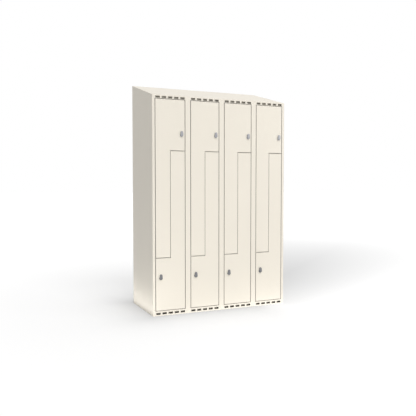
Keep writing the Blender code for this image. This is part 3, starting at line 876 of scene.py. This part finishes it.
def pierced_front(left, right, top):
    """The frame's flat front, with an opening for each column's doors."""
    bm = bmesh.new()
    corners = [(left, 0.0), (right, 0.0), (right, top), (left, top)]
    bm.faces.new([bm.verts.new((x, FRONT_Y, z)) for x, z in corners])
    openings = [door_opening(column) for column in columns()]
    _, _, low_z, high_z = openings[0]
    for height in (low_z, high_z):
        cut_line(bm, (0.0, FRONT_Y, height), (0.0, 0.0, 1.0))
    for low_x, high_x, _, _ in openings:
        for x in (low_x, high_x):
            cut_line(bm, (x, FRONT_Y, 0.0), (1.0, 0.0, 0.0))
    open_faces = []
    for face in bm.faces:
        middle = face.calc_center_median()
        beside = any(low_x < middle.x < high_x for low_x, high_x, _, _ in openings)
        if beside and low_z < middle.z < high_z:
            open_faces.append(face)
    bmesh.ops.delete(bm, geom=open_faces, context="FACES")
    return bm


def front_frame(sizes):
    """Rails and uprights as one folded sheet with four openings and two rows of vents."""
    left, right = between_wraps(sizes)
    top = HEIGHT_FRONT - sizes.roof_flange - sizes.seam
    bm = pierced_front(left, right, top)
    rims = []
    for edge in bm.edges:
        middle = (edge.verts[0].co + edge.verts[1].co) / 2
        inside = left + TINY < middle.x < right - TINY and TINY < middle.z < top - TINY
        if edge.is_boundary and inside:
            rims.append(edge)
    pull_edges(bm, rims, (0.0, FRAME_DEPTH, 0.0))
    back_y = FRONT_Y + FRAME_DEPTH
    rail_folds = [edge for edge in bm.edges
                  if lies_at(edge, Y, back_y) and run_of(edge, Z) < TINY]
    close_stiles(bm, back_y)
    turn_lips(bm, rail_folds, sizes.rail_lip)
    face_outward(bm, (0.0, -1.0, 0.0))
    round_folds(bm, sizes)
    piece = sheet_from(bm, "front_frame")
    punches = [
        vent_punches(sizes, "top_vents", HEIGHT_FRONT - sizes.top_vent_drop),
        vent_punches(sizes, "bottom_vents", sizes.bottom_vent_rise),
        rod_bores(sizes, [(level, column) for column in columns() for level in LEVELS]),
    ]
    combine(piece, punches, "DIFFERENCE")
    return settle_normals(piece)


# Dividers

def stop_outline(sizes, column):
    """Outline of the Z-shaped door stop as (x, z), notched where the doors' edges swing."""
    middle, low, high = z_steps(sizes, column)
    left, right, _, _ = door_opening(column)
    half = sizes.stop_width / 2
    reliefs = {}
    for level in LEVELS:
        axis = middle_of(f"hinge_rod_{level}_{column}")
        box_low, box_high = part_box(f"{level}_door_{column}")
        inset = min(axis.x - box_low.x, box_high.x - axis.x)
        reach = math.hypot(inset, box_high.y - axis.y) + sizes.swing_clearance
        reliefs[level] = axis.x + reach if level == "upper" else axis.x - reach
    return [(left + FIT_GAP, low - half), (middle + half, low - half),
            (middle + half, high - half), (reliefs["lower"], high - half),
            (reliefs["lower"], high), (right - FIT_GAP, high), (right - FIT_GAP, high + half),
            (middle - half, high + half), (middle - half, low + half),
            (reliefs["upper"], low + half), (reliefs["upper"], low), (left + FIT_GAP, low)]


def divider_stop(sizes, column):
    """The flat strip behind the Z gap, its corners rounded."""
    bm = bmesh.new()
    add_prism(bm, stop_outline(sizes, column), 0.0, sizes.stop_sheet)
    corners = [edge for edge in bm.edges if run_of(edge, Z) > TINY]
    round_edges(bm, corners, sizes.fold_radius, sizes.fold_segments)
    place_on_door(bm, (0.0, FRONT_Y + DOOR_DEPTH + FIT_GAP + sizes.stop_sheet, 0.0))
    return object_from(bm, "divider_stop")


def divider_lug(sizes, level, column):
    """A hinge lug in the gap between the two doors, its free corners rounded."""
    axis = middle_of(f"hinge_rod_{level}_{column}")
    _, lower_step, upper_step = z_steps(sizes, column)
    step = lower_step if level == "upper" else upper_step
    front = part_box(f"z_divider_{column}")[0].y
    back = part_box("partition_1")[0].y + sizes.lug_lap
    bm = bmesh.new()
    add_box(bm, (axis.x - sizes.lug_length / 2, front, step - sizes.lug_sheet / 2),
            (axis.x + sizes.lug_length / 2, back, step + sizes.lug_sheet / 2))
    corners = [edge for edge in bm.edges
               if run_of(edge, Z) > TINY and edge.verts[0].co.y < FRONT_Y + DOOR_DEPTH]
    round_edges(bm, corners, 2 * sizes.fold_radius, sizes.fold_segments)
    return object_from(bm, "divider_lug")


def z_divider(sizes, column):
    """The folded sheet between the two compartments, with its stop and hinge lugs."""
    low_box, high_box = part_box(f"z_divider_{column}")
    middle, low, high = z_steps(sizes, column)
    left = low_box.x + SHEET / 2
    right = high_box.x - SHEET / 2
    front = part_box("partition_1")[0].y
    path = [(left, front, low + sizes.wall_flange), (left, front, low), (middle, front, low),
            (middle, front, high), (right, front, high),
            (right, front, high - sizes.wall_flange)]
    bm = sheet_surface(path, (0.0, high_box.y - front, 0.0), (0.0, 0.0, 1.0))
    folds = [edge for edge in bm.edges if len(edge.link_faces) == 2]
    round_edges(bm, folds, 2 * SHEET, sizes.fold_segments)
    piece = sheet_from(bm, f"z_divider_sheet_{column}", offset=0.0)
    lugs = [divider_lug(sizes, level, column) for level in LEVELS]
    combine(piece, [divider_stop(sizes, column), *lugs], "UNION")
    combine(piece, [rod_bores(sizes, [(level, column) for level in LEVELS])], "DIFFERENCE")
    return settle_normals(piece)


# Doors

def door_pan(sizes, lock, level, column):
    """A folded door: front, returns and an inward hem, with holes for the lock and the rod."""
    bm = bmesh.new()
    outline = door_outline(sizes, level, column)
    face = bm.faces.new([bm.verts.new((x, FRONT_Y, z)) for x, z in outline])
    pull_face(bm, face, (0.0, DOOR_DEPTH, 0.0))
    back = max(bm.faces, key=lambda item: item.calc_center_median().y)
    bmesh.ops.recalc_face_normals(bm, faces=bm.faces)
    bmesh.ops.inset_region(bm, faces=[back], thickness=sizes.hem_width, use_even_offset=True)
    bmesh.ops.delete(bm, geom=[back], context="FACES")
    face_outward(bm, (0.0, -1.0, 0.0))
    round_folds(bm, sizes)
    door = sheet_from(bm, f"{level}_door_pan_{column}")

    axis = lock_place(level, column)
    reach = Vector((0.0, 2 * SHEET, 0.0))
    hole = bmesh.new()
    add_cylinder(hole, lock.barrel_radius + FIT_GAP, LOCK_HOLE_SIDES, axis - reach, axis + reach)
    holes = [object_from(hole, "lock_hole"), rod_bores(sizes, [(level, column)])]
    combine(door, holes, "DIFFERENCE")
    return settle_normals(door)


# Hinge rods

def hinge_rod(name, node):
    """A round rod with chamfered ends and a rolled groove near each."""
    low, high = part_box(node)
    radius = (high.x - low.x) / 2
    length = high.z - low.z
    chamfer = radius / 5
    groove = SHEET / 2
    profile = [(0.0, 0.0), (radius - chamfer, 0.0), (radius, chamfer)]
    for start in (chamfer + groove, length - chamfer - 2 * groove):
        profile += [(radius, start), (radius - chamfer, start + groove / 4),
                    (radius - chamfer, start + 3 * groove / 4), (radius, start + groove)]
    profile += [(radius, length - chamfer), (radius - chamfer, length), (0.0, length)]
    bm = turned(profile, ROD_SIDES)
    axis = (low + high) / 2
    bmesh.ops.translate(bm, verts=bm.verts, vec=(axis.x, axis.y, low.z))
    return settle_normals(object_from(bm, name))


# Locks

def lock_case_shape(lock):
    """Rosette, threaded barrel and nut, with the axis along local Z, outwards."""
    front = FIT_GAP + lock.rosette_thickness
    nut_front = -SHEET - FIT_GAP
    nut_back = nut_front - lock.nut_thickness
    barrel_end = -(FRAME_DEPTH + lock.cam_clearance) + FIT_GAP
    bore = lock.spindle_radius + FIT_GAP
    step = lock.rosette_thickness / 3
    root = lock.barrel_radius - lock.thread_depth
    profile = [(bore, front)]
    profile += [(lock.rosette_radius - inwards * step, front - down * step)
                for inwards, down in ROSETTE_RIM]
    profile += [(lock.rosette_radius, FIT_GAP), (lock.barrel_radius, FIT_GAP),
                (lock.barrel_radius, nut_back)]
    for thread in range(int((nut_back - barrel_end) / lock.thread_pitch)):
        top = nut_back - thread * lock.thread_pitch
        profile += [(root, top - lock.thread_pitch / 2),
                    (lock.barrel_radius, top - lock.thread_pitch)]
    profile += [(root, barrel_end), (bore, barrel_end)]
    bm = turned(profile, CASE_SIDES, closed=True)
    add_hexagon(bm, lock.nut_radius, nut_back, nut_front, lock.thread_depth)
    bmesh.ops.recalc_face_normals(bm, faces=bm.faces)
    return bm


def lever_grip(lock, back, front):
    """The lever's grip, waisted and rounded to the front, with a recess for the plug."""
    bm = bmesh.new()
    outline = tapered_outline(
        lock.hub_radius, lock.tip_radius, lock.lever_length, LEVER_ARC_STEPS)
    add_prism(bm, outline, back, front)
    front_edges = [edge for edge in bm.edges if lies_at(edge, Z, front)]
    round_edges(bm, front_edges, lock.lever_rounding, LEVER_EDGE_SEGMENTS)
    waist = back + GRIP_WAIST_HEIGHT * lock.lever_thickness
    shoulder = back + 2 * GRIP_WAIST_HEIGHT * lock.lever_thickness
    for height in (waist, shoulder):
        cut_line(bm, (0.0, 0.0, height), (0.0, 0.0, 1.0))
    middle = lock.lever_length / 2
    for vert in bm.verts:
        if abs(vert.co.z - waist) < TINY:
            vert.co.x *= GRIP_WAIST_WIDTH
            vert.co.y = middle + (vert.co.y - middle) * GRIP_WAIST_LENGTH
    grip = object_from(bm, "lever_grip")
    recess = bmesh.new()
    add_cylinder(recess, lock.plug_radius + FIT_GAP, PLUG_SIDES, (0.0, 0.0, front - SHEET),
                 (0.0, 0.0, front + SHEET))
    combine(grip, [object_from(recess, "plug_recess")], "DIFFERENCE")
    return grip


def key_plug(lock, front):
    """The plug in the lever's hub, with its keyway."""
    rim = lock.plug_radius
    edge_width, edge_drop, keyway_depth = 0.4 * SHEET, 0.35 * SHEET, 0.7 * SHEET
    profile = [(0.0, front - SHEET), (rim, front - SHEET), (rim, front - edge_drop),
               (rim - edge_width, front), (0.0, front)]
    plug = object_from(turned(profile, PLUG_SIDES), "key_plug")
    half_width, half_length = KEYWAY_HALF_WIDTH * rim, KEYWAY_HALF_LENGTH * rim
    keyway = bmesh.new()
    add_box(keyway, (-half_width, -half_length, front - keyway_depth),
            (half_width, half_length, front + SHEET))
    combine(plug, [object_from(keyway, "keyway")], "DIFFERENCE")
    return plug


def add_cam(bm, lock, length, front, back):
    """The cam behind the door, hanging down from the axis, and its bolt."""
    half = lock.cam_half_width
    outline = [(x, -y) for x, y in tapered_outline(half, half, length, CAM_ARC_STEPS)]
    verts = add_prism(bm, outline, back, front)
    flat_edges = [edge for edge in edges_of(verts) if run_of(edge, Z) < TINY]
    round_edges(bm, flat_edges, lock.cam_sheet / 6, EDGE_SEGMENTS)
    add_hexagon(bm, lock.spindle_radius, back - lock.spindle_tail, back, lock.spindle_tail / 8)


def lock_lever_shape(lock, level, column):
    """Lever with key plug, spindle, cam and cam bolt, with the axis along local Z, outwards."""
    back = 2 * FIT_GAP + lock.rosette_thickness
    front = back + lock.lever_thickness
    cam_front = -(FRAME_DEPTH + lock.cam_clearance)
    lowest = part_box(f"lock_lever_{level}_{column}")[0].z
    cam_length = lock_place(level, column).z - lowest - lock.cam_half_width
    bm = bmesh.new()
    take_mesh(bm, lever_grip(lock, back, front))
    take_mesh(bm, key_plug(lock, front))
    add_cylinder(bm, lock.spindle_radius, SPINDLE_SIDES, (0.0, 0.0, cam_front - TINY),
                 (0.0, 0.0, back + TINY))
    add_cam(bm, lock, cam_length, cam_front, cam_front - lock.cam_sheet)
    return bm


# Coat hooks

def hook_strip(hook, width):
    """The bent strip as an open surface: plate at y 0, its foot at z 0, the tip upwards."""
    bm = bmesh.new()
    foot = bm.edges.new([bm.verts.new((side * width / 2, 0.0, 0.0)) for side in (-1, 1)])
    pull_edges(bm, [foot], (0.0, 0.0, hook.plate_height))
    bend = bmesh.ops.spin(
        bm, geom=[foot], cent=(0.0, -hook.bend_radius, 0.0), axis=(1.0, 0.0, 0.0),
        dvec=(0.0, 0.0, 0.0), angle=-hook.bend_angle, steps=HOOK_BEND_STEPS,
        use_duplicate=False)
    last = [item for item in bend["geom_last"] if isinstance(item, bmesh.types.BMEdge)]
    along = Vector((0.0, -math.sin(hook.bend_angle), -math.cos(hook.bend_angle)))
    pull_edges(bm, last, along * hook.tip_length)
    face_outward(bm, (0.0, 1.0, 0.0))
    corners = [vert for vert in bm.verts if len(vert.link_edges) == 2]
    bmesh.ops.bevel(
        bm, geom=corners, offset=width / 4, offset_type="OFFSET", segments=HOOK_TIP_SEGMENTS,
        profile=0.5, affect="VERTICES", clamp_overlap=True, material=-1)
    return bm


def coat_hook(hook, level, column):
    """A bent-strip hook with two rivet heads."""
    low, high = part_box(f"coat_hook_{level}_{column}")
    strip = hook_strip(hook, high.x - low.x)
    piece = sheet_from(strip, f"wall_hook_{level}_{column}", sheet=hook.strip)
    edge_rounding = piece.modifiers.new("edges", "BEVEL")
    edge_rounding.width = hook.strip / 6
    edge_rounding.segments = EDGE_SEGMENTS
    edge_rounding.limit_method = "ANGLE"
    edge_rounding.angle_limit = STRIP_EDGE_ANGLE
    bake(piece)

    bm = bmesh.new()
    bm.from_mesh(piece.data)
    squash = Matrix.Diagonal((1.0, 1.0, RIVET_SQUASH, 1.0))
    for height in RIVET_HEIGHTS:
        centre = Matrix.Translation((0.0, -hook.strip, height * hook.plate_height))
        bmesh.ops.create_uvsphere(
            bm, u_segments=RIVET_SEGMENTS, v_segments=RIVET_RINGS, radius=hook.rivet_radius,
            matrix=centre @ TURN_TO_FRONT @ squash)
    place = ((low.x + high.x) / 2, high.y, high.z - hook.plate_height)
    bmesh.ops.translate(bm, verts=bm.verts, vec=place)
    bm.to_mesh(piece.data)
    bm.free()
    return settle_normals(piece)


# Stage

def seen_directly(tree):
    """1 for camera, glossy and transmission rays, else 0."""
    rays = add_node(tree, "ShaderNodeLightPath").outputs
    seen = math_node(tree, "MAXIMUM", rays["Is Camera Ray"], rays["Is Glossy Ray"])
    return math_node(tree, "MAXIMUM", seen, rays["Is Transmission Ray"])


def make_sky(level):
    """Even light from all round, with white as the background."""
    world = bpy.data.worlds.new("studio_sky")
    bpy.context.scene.world = world
    world.use_nodes = True
    tree = world.node_tree
    background = tree.nodes["Background"]
    background.inputs["Color"].default_value = (1.0, 1.0, 1.0, 1.0)
    sky_strength = range_node(tree, seen_directly(tree), (0.0, 1.0), (level, 1.0))
    tree.links.new(sky_strength, background.inputs["Strength"])


def floor_glow(tree, axes, studio):
    """Strength of the glow on the floor: strong to the left of the locker, weak in front."""
    left_end = LEFT_X - studio.side_glow_start
    beside = math_node(tree, "SUBTRACT", left_end, axes["X"])
    before = math_node(tree, "SUBTRACT", FRONT_Y, axes["Y"])
    rising = range_node(
        tree, axes["X"], (LEFT_X, RIGHT_X), (studio.front_glow, studio.right_glow))
    parts = []
    for gap, level, reach in ((beside, studio.side_glow, studio.side_glow_reach),
                              (before, rising, studio.front_glow_reach)):
        outside = math_node(tree, "GREATER_THAN", gap, 0.0)
        falloff = range_node(tree, gap, (0.0, reach), (1.0, 0.0))
        part = math_node(tree, "MULTIPLY", outside, falloff)
        parts.append(math_node(tree, "MULTIPLY", part, level))
    return math_node(tree, "MAXIMUM", *parts)


def contact_shade(tree, axes, studio):
    """How much the floor darkens towards the locker's foot, on the left and in front."""
    gaps = []
    for axis, half in (("X", RIGHT_X), ("Y", BACK_Y)):
        away = math_node(tree, "SUBTRACT", math_node(tree, "ABSOLUTE", axes[axis]), half)
        gaps.append(math_node(tree, "MAXIMUM", away, 0.0))
    distance = length_of(tree, *gaps)
    fall = math_node(
        tree, "EXPONENT", math_node(tree, "MULTIPLY", distance, -1.0 / studio.contact_reach))
    level = range_node(
        tree, axes["X"], (RIGHT_X / 2, RIGHT_X), (studio.contact_shade, 0.0))
    return math_node(tree, "MULTIPLY", fall, level)


def soft_shadow(tree, axes, studio):
    """A wide shadow that spreads and fades from the locker to the back and the right."""
    begin_along = (-0.3, 0.1)
    fade_start = 1.0
    spread_along = (0.0, 10.0)
    half_widths = (0.5, 3.0)
    edge_shares = (0.3, 1.4)
    diagonal = math.sqrt(0.5)
    along = math_node(tree, "ADD", axes["X"], axes["Y"])
    along = math_node(tree, "MULTIPLY", along, diagonal)
    across = math_node(tree, "SUBTRACT", axes["X"], axes["Y"])
    across = math_node(tree, "MULTIPLY", math_node(tree, "ABSOLUTE", across), diagonal)
    width = range_node(tree, along, spread_along, half_widths)
    side = math_node(tree, "DIVIDE", across, width)
    edge = range_node(tree, side, edge_shares, (1.0, 0.0))
    begin = range_node(tree, along, begin_along, (0.0, 1.0))
    fade = range_node(
        tree, along, (fade_start, studio.shadow_reach), (studio.soft_shadow, 0.0))
    return math_node(tree, "MULTIPLY", math_node(tree, "MULTIPLY", edge, begin), fade)


def visible_floor(tree, coordinates, axes, colours, studio):
    """What the camera sees: pale floor under the shades, fading to the white background."""
    distance = add_node(tree, "ShaderNodeVectorMath", operation="LENGTH")
    tree.links.new(coordinates, distance.inputs[0])
    fade = range_node(
        tree, distance.outputs["Value"], (studio.floor_fade_start, studio.floor_fade_end),
        (studio.floor_white, 1.0))
    shade = math_node(tree, "MAXIMUM", contact_shade(tree, axes, studio),
                      soft_shadow(tree, axes, studio))
    light = math_node(tree, "SUBTRACT", 1.0, shade)
    tint = add_node(tree, "ShaderNodeVectorMath", operation="SCALE")
    tint.inputs[0].default_value = colours.floor
    tree.links.new(light, tint.inputs["Scale"])
    pale = add_node(tree, "ShaderNodeBsdfDiffuse")
    tree.links.new(tint.outputs["Vector"], pale.inputs["Color"])
    white = add_node(tree, "ShaderNodeEmission")
    white_strength = math_node(tree, "MULTIPLY", light, studio.white_level)
    tree.links.new(white_strength, white.inputs["Strength"])
    shown = join_shaders(tree, "ShaderNodeMixShader", pale, white)
    tree.links.new(fade, shown.inputs["Fac"])
    return shown


def thrown_light(tree, axes, colours, studio):
    """What the floor throws on the locker: a plain bounce and the glow."""
    bounce = add_node(tree, "ShaderNodeBsdfDiffuse")
    bounce.inputs["Color"].default_value = (*colours.floor_bounce, 1.0)
    glow = add_node(tree, "ShaderNodeEmission")
    tree.links.new(floor_glow(tree, axes, studio), glow.inputs["Strength"])
    return join_shaders(tree, "ShaderNodeAddShader", bounce, glow)


def floor_material(colours, studio):
    """Pale floor that keeps the shadow and fades to the white background."""
    material, tree, coordinates = new_material("studio_floor")
    tree.nodes.remove(tree.nodes["Principled BSDF"])
    axes = axes_of(tree, coordinates)
    thrown = thrown_light(tree, axes, colours, studio)
    shown = visible_floor(tree, coordinates, axes, colours, studio)
    chosen = join_shaders(tree, "ShaderNodeMixShader", thrown, shown)
    tree.links.new(seen_directly(tree), chosen.inputs["Fac"])
    tree.links.new(chosen.outputs["Shader"], tree.nodes["Material Output"].inputs["Surface"])
    return material


def stage_object(name, data):
    """Put a floor, a lamp or a camera in the scene."""
    obj = bpy.data.objects.new(name, data)
    bpy.context.scene.collection.objects.link(obj)
    return obj


def make_floor(colours, studio):
    """A wide flat floor just under the locker."""
    bm = bmesh.new()
    bmesh.ops.create_grid(
        bm, x_segments=1, y_segments=1, size=studio.floor_size,
        matrix=Matrix.Translation((0.0, 0.0, -FIT_GAP)))
    mesh = bpy.data.meshes.new("studio_floor")
    bm.to_mesh(mesh)
    bm.free()
    mesh.materials.append(floor_material(colours, studio))
    floor = stage_object("studio_floor", mesh)


def make_key_lamp(studio):
    """A soft lamp before the doors."""
    data = bpy.data.lights.new("key_lamp", "SUN")
    data.energy = studio.key_level
    data.angle = studio.key_softness
    forward = math.cos(studio.key_height)
    towards = Vector((-math.sin(studio.key_turn) * forward,
                      -math.cos(studio.key_turn) * forward, math.sin(studio.key_height)))
    lamp = stage_object("key_lamp", data)
    lamp.rotation_euler = towards.to_track_quat("Z", "Y").to_euler()


def make_fill_lamp(studio):
    """A wide lamp to the right that lifts the right-hand doors a little."""
    data = bpy.data.lights.new("fill_lamp", "AREA")
    data.energy = studio.fill_level
    data.size = studio.fill_size
    aim = Vector((0.0, FRONT_Y, HEIGHT_FRONT / 2))
    lamp = stage_object("fill_lamp", data)
    lamp.location = studio.fill_place
    lamp.rotation_euler = (Vector(studio.fill_place) - aim).to_track_quat("Z", "Y").to_euler()


def make_camera(studio):
    """The camera, at the photograph's viewing angle."""
    data = bpy.data.cameras.new("camera")
    data.lens = studio.camera_lens
    camera = stage_object("camera", data)
    camera.location = studio.camera_place
    camera.rotation_euler = (
        math.radians(90.0) - studio.camera_tilt, 0.0, -studio.camera_turn)
    bpy.context.scene.camera = camera


# Operators

class ZLOCKER_OT_stage(bpy.types.Operator):
    """Camera, floor and soft studio light"""

    bl_idname = "z_locker.stage"
    bl_label = "Stage"

    def execute(self, context):
        scene = context.scene
        scene.view_settings.view_transform = "Standard"
        make_camera(scene.z_locker_studio)
        make_sky(scene.z_locker_studio.sky_level)
        make_key_lamp(scene.z_locker_studio)
        make_fill_lamp(scene.z_locker_studio)
        make_floor(scene.z_locker_colours, scene.z_locker_studio)
        return {"FINISHED"}


class ZLOCKER_OT_side_panels(bpy.types.Operator):
    """The two side panels with their folded edges"""

    bl_idname = "z_locker.side_panels"
    bl_label = "Side panels"

    def execute(self, context):
        sizes = context.scene.z_locker_sizes
        for name, outer_x, towards in (("left", LEFT_X, 1), ("right", RIGHT_X, -1)):
            panel = side_panel(sizes, f"{name}_side_panel", outer_x, towards)
            dress(panel, "body_powder_coat", "carcass_paint", "carcass", f"side_{name}")
        return {"FINISHED"}


class ZLOCKER_OT_roof(bpy.types.Operator):
    """The sloping roof sheet"""

    bl_idname = "z_locker.roof"
    bl_label = "Sloping roof"

    def execute(self, context):
        roof = roof_sheet(context.scene.z_locker_sizes)
        dress(roof, "body_powder_coat", "carcass_paint", "carcass", "sloping_roof")
        return {"FINISHED"}


class ZLOCKER_OT_back_panel(bpy.types.Operator):
    """The back panel with its rows of spot welds"""

    bl_idname = "z_locker.back_panel"
    bl_label = "Back panel"

    def execute(self, context):
        panel = back_sheet(context.scene.z_locker_sizes)
        dress(panel, "back_powder_coat", "carcass_paint", "carcass", "back_panel")
        return {"FINISHED"}


class ZLOCKER_OT_inner_sheets(bpy.types.Operator):
    """Finish of the base sheet and the partitions, whose CAD shapes stay"""

    bl_idname = "z_locker.inner_sheets"
    bl_label = "Base and partitions"

    def execute(self, context):
        partitions = [f"partition_{column}" for column in range(1, COLUMNS)]
        for name in ["base_panel", *partitions]:
            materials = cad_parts[name].data.materials
            materials.clear()
            materials.append(finish("inner_powder_coat"))
        return {"FINISHED"}


class ZLOCKER_OT_front_frame(bpy.types.Operator):
    """Rails and uprights round the doors, with their vents"""

    bl_idname = "z_locker.front_frame"
    bl_label = "Front frame"

    def execute(self, context):
        piece = front_frame(context.scene.z_locker_sizes)
        stiles = [f"stile_{column}" for column in range(1, COLUMNS + 2)]
        dress(piece, "front_powder_coat", "frame_paint", "carcass", "top_rail",
              "bottom_rail", *stiles)
        return {"FINISHED"}


class ZLOCKER_OT_dividers(bpy.types.Operator):
    """The Z dividers with door stops and hinge lugs"""

    bl_idname = "z_locker.dividers"
    bl_label = "Z dividers"

    def execute(self, context):
        for column in columns():
            piece = z_divider(context.scene.z_locker_sizes, column)
            dress(piece, "inner_powder_coat", "divider_paint", "carcass",
                  f"z_divider_{column}")
        return {"FINISHED"}


class ZLOCKER_OT_doors(bpy.types.Operator):
    """The eight folded doors"""

    bl_idname = "z_locker.doors"
    bl_label = "Doors"

    def execute(self, context):
        scene = context.scene
        for level, column in compartments():
            door = door_pan(scene.z_locker_sizes, scene.z_locker_lock, level, column)
            name = f"{level}_door_{column}"
            dress(door, "front_powder_coat", "door_paint", name, name)
        return {"FINISHED"}


class ZLOCKER_OT_hinge_rods(bpy.types.Operator):
    """The rods that the doors turn on"""

    bl_idname = "z_locker.hinge_rods"
    bl_label = "Hinge rods"

    def execute(self, context):
        for level, column in compartments():
            node = f"hinge_rod_{level}_{column}"
            rod = hinge_rod(f"pivot_{node}", node)
            dress(rod, "drawn_zinc_steel", "rod_steel", "carcass", node)
        return {"FINISHED"}


class ZLOCKER_OT_lock_cases(bpy.types.Operator):
    """Rosettes, barrels and nuts of the locks"""

    bl_idname = "z_locker.lock_cases"
    bl_label = "Lock cases"

    def execute(self, context):
        for level, column in compartments():
            bm = lock_case_shape(context.scene.z_locker_lock)
            place_on_door(bm, lock_place(level, column))
            case = settle_normals(object_from(bm, f"{level}_lock_body_{column}"))
            # The level picks the lit copy of the zinc for upper locks and the shaded copy for
            # lower ones
            dress(case, f"{level}_cast_zinc", "lock_case_zinc",
                  f"{level}_door_{column}", f"lock_case_{level}_{column}")
        return {"FINISHED"}


class ZLOCKER_OT_lock_levers(bpy.types.Operator):
    """Levers of the locks, with their plugs, spindles and cams"""

    bl_idname = "z_locker.lock_levers"
    bl_label = "Lock levers"

    def execute(self, context):
        for level, column in compartments():
            bm = lock_lever_shape(context.scene.z_locker_lock, level, column)
            place_on_door(bm, lock_place(level, column))
            lever = settle_normals(object_from(bm, f"{level}_lock_handle_{column}"))
            body = f"lock_lever_{level}_{column}"
            # The level picks the lit copy of the zinc for upper locks and the shaded copy for
            # lower ones
            dress(lever, f"{level}_cast_zinc", "lock_lever_zinc", body, body)
        return {"FINISHED"}


class ZLOCKER_OT_coat_hooks(bpy.types.Operator):
    """One riveted coat hook in each compartment"""

    bl_idname = "z_locker.coat_hooks"
    bl_label = "Coat hooks"

    def execute(self, context):
        for level, column in compartments():
            piece = coat_hook(context.scene.z_locker_hook, level, column)
            dress(piece, "drawn_zinc_steel", "hook_zinc", "carcass",
                  f"coat_hook_{level}_{column}")
        return {"FINISHED"}


STEPS = (
    ZLOCKER_OT_stage, ZLOCKER_OT_side_panels, ZLOCKER_OT_roof, ZLOCKER_OT_back_panel,
    ZLOCKER_OT_inner_sheets, ZLOCKER_OT_front_frame, ZLOCKER_OT_dividers, ZLOCKER_OT_doors,
    ZLOCKER_OT_hinge_rods, ZLOCKER_OT_lock_cases, ZLOCKER_OT_lock_levers,
    ZLOCKER_OT_coat_hooks,
)


class ZLOCKER_PT_sidebar(bpy.types.Panel):
    """The steps, in the order in which they are taken"""

    bl_idname = "ZLOCKER_PT_sidebar"
    bl_label = "Z locker"
    bl_space_type = "VIEW_3D"
    bl_region_type = "UI"
    bl_category = "Z locker"

    def draw(self, context):
        for step in STEPS:
            self.layout.operator(step.bl_idname)


GROUPS = {
    "z_locker_sizes": ZLockerSizes,
    "z_locker_lock": ZLockerLock,
    "z_locker_hook": ZLockerHook,
    "z_locker_colours": ZLockerColours,
    "z_locker_studio": ZLockerStudio,
}


def register():
    """Register the groups, the steps and the panel."""
    for name, group in GROUPS.items():
        bpy.utils.register_class(group)
        setattr(bpy.types.Scene, name, PointerProperty(type=group))
    for step in STEPS:
        bpy.utils.register_class(step)
    bpy.utils.register_class(ZLOCKER_PT_sidebar)


def unregister():
    """Take everything back."""
    bpy.utils.unregister_class(ZLOCKER_PT_sidebar)
    for step in reversed(STEPS):
        bpy.utils.unregister_class(step)
    for name, group in GROUPS.items():
        delattr(bpy.types.Scene, name)
        bpy.utils.unregister_class(group)


def main():
    """Take every step."""
    register()
    bpy.ops.z_locker.stage()
    bpy.ops.z_locker.side_panels()
    bpy.ops.z_locker.roof()
    bpy.ops.z_locker.back_panel()
    bpy.ops.z_locker.inner_sheets()
    bpy.ops.z_locker.front_frame()
    bpy.ops.z_locker.dividers()
    bpy.ops.z_locker.doors()
    bpy.ops.z_locker.hinge_rods()
    bpy.ops.z_locker.lock_cases()
    bpy.ops.z_locker.lock_levers()
    bpy.ops.z_locker.coat_hooks()


if __name__ == "__main__":
    main()
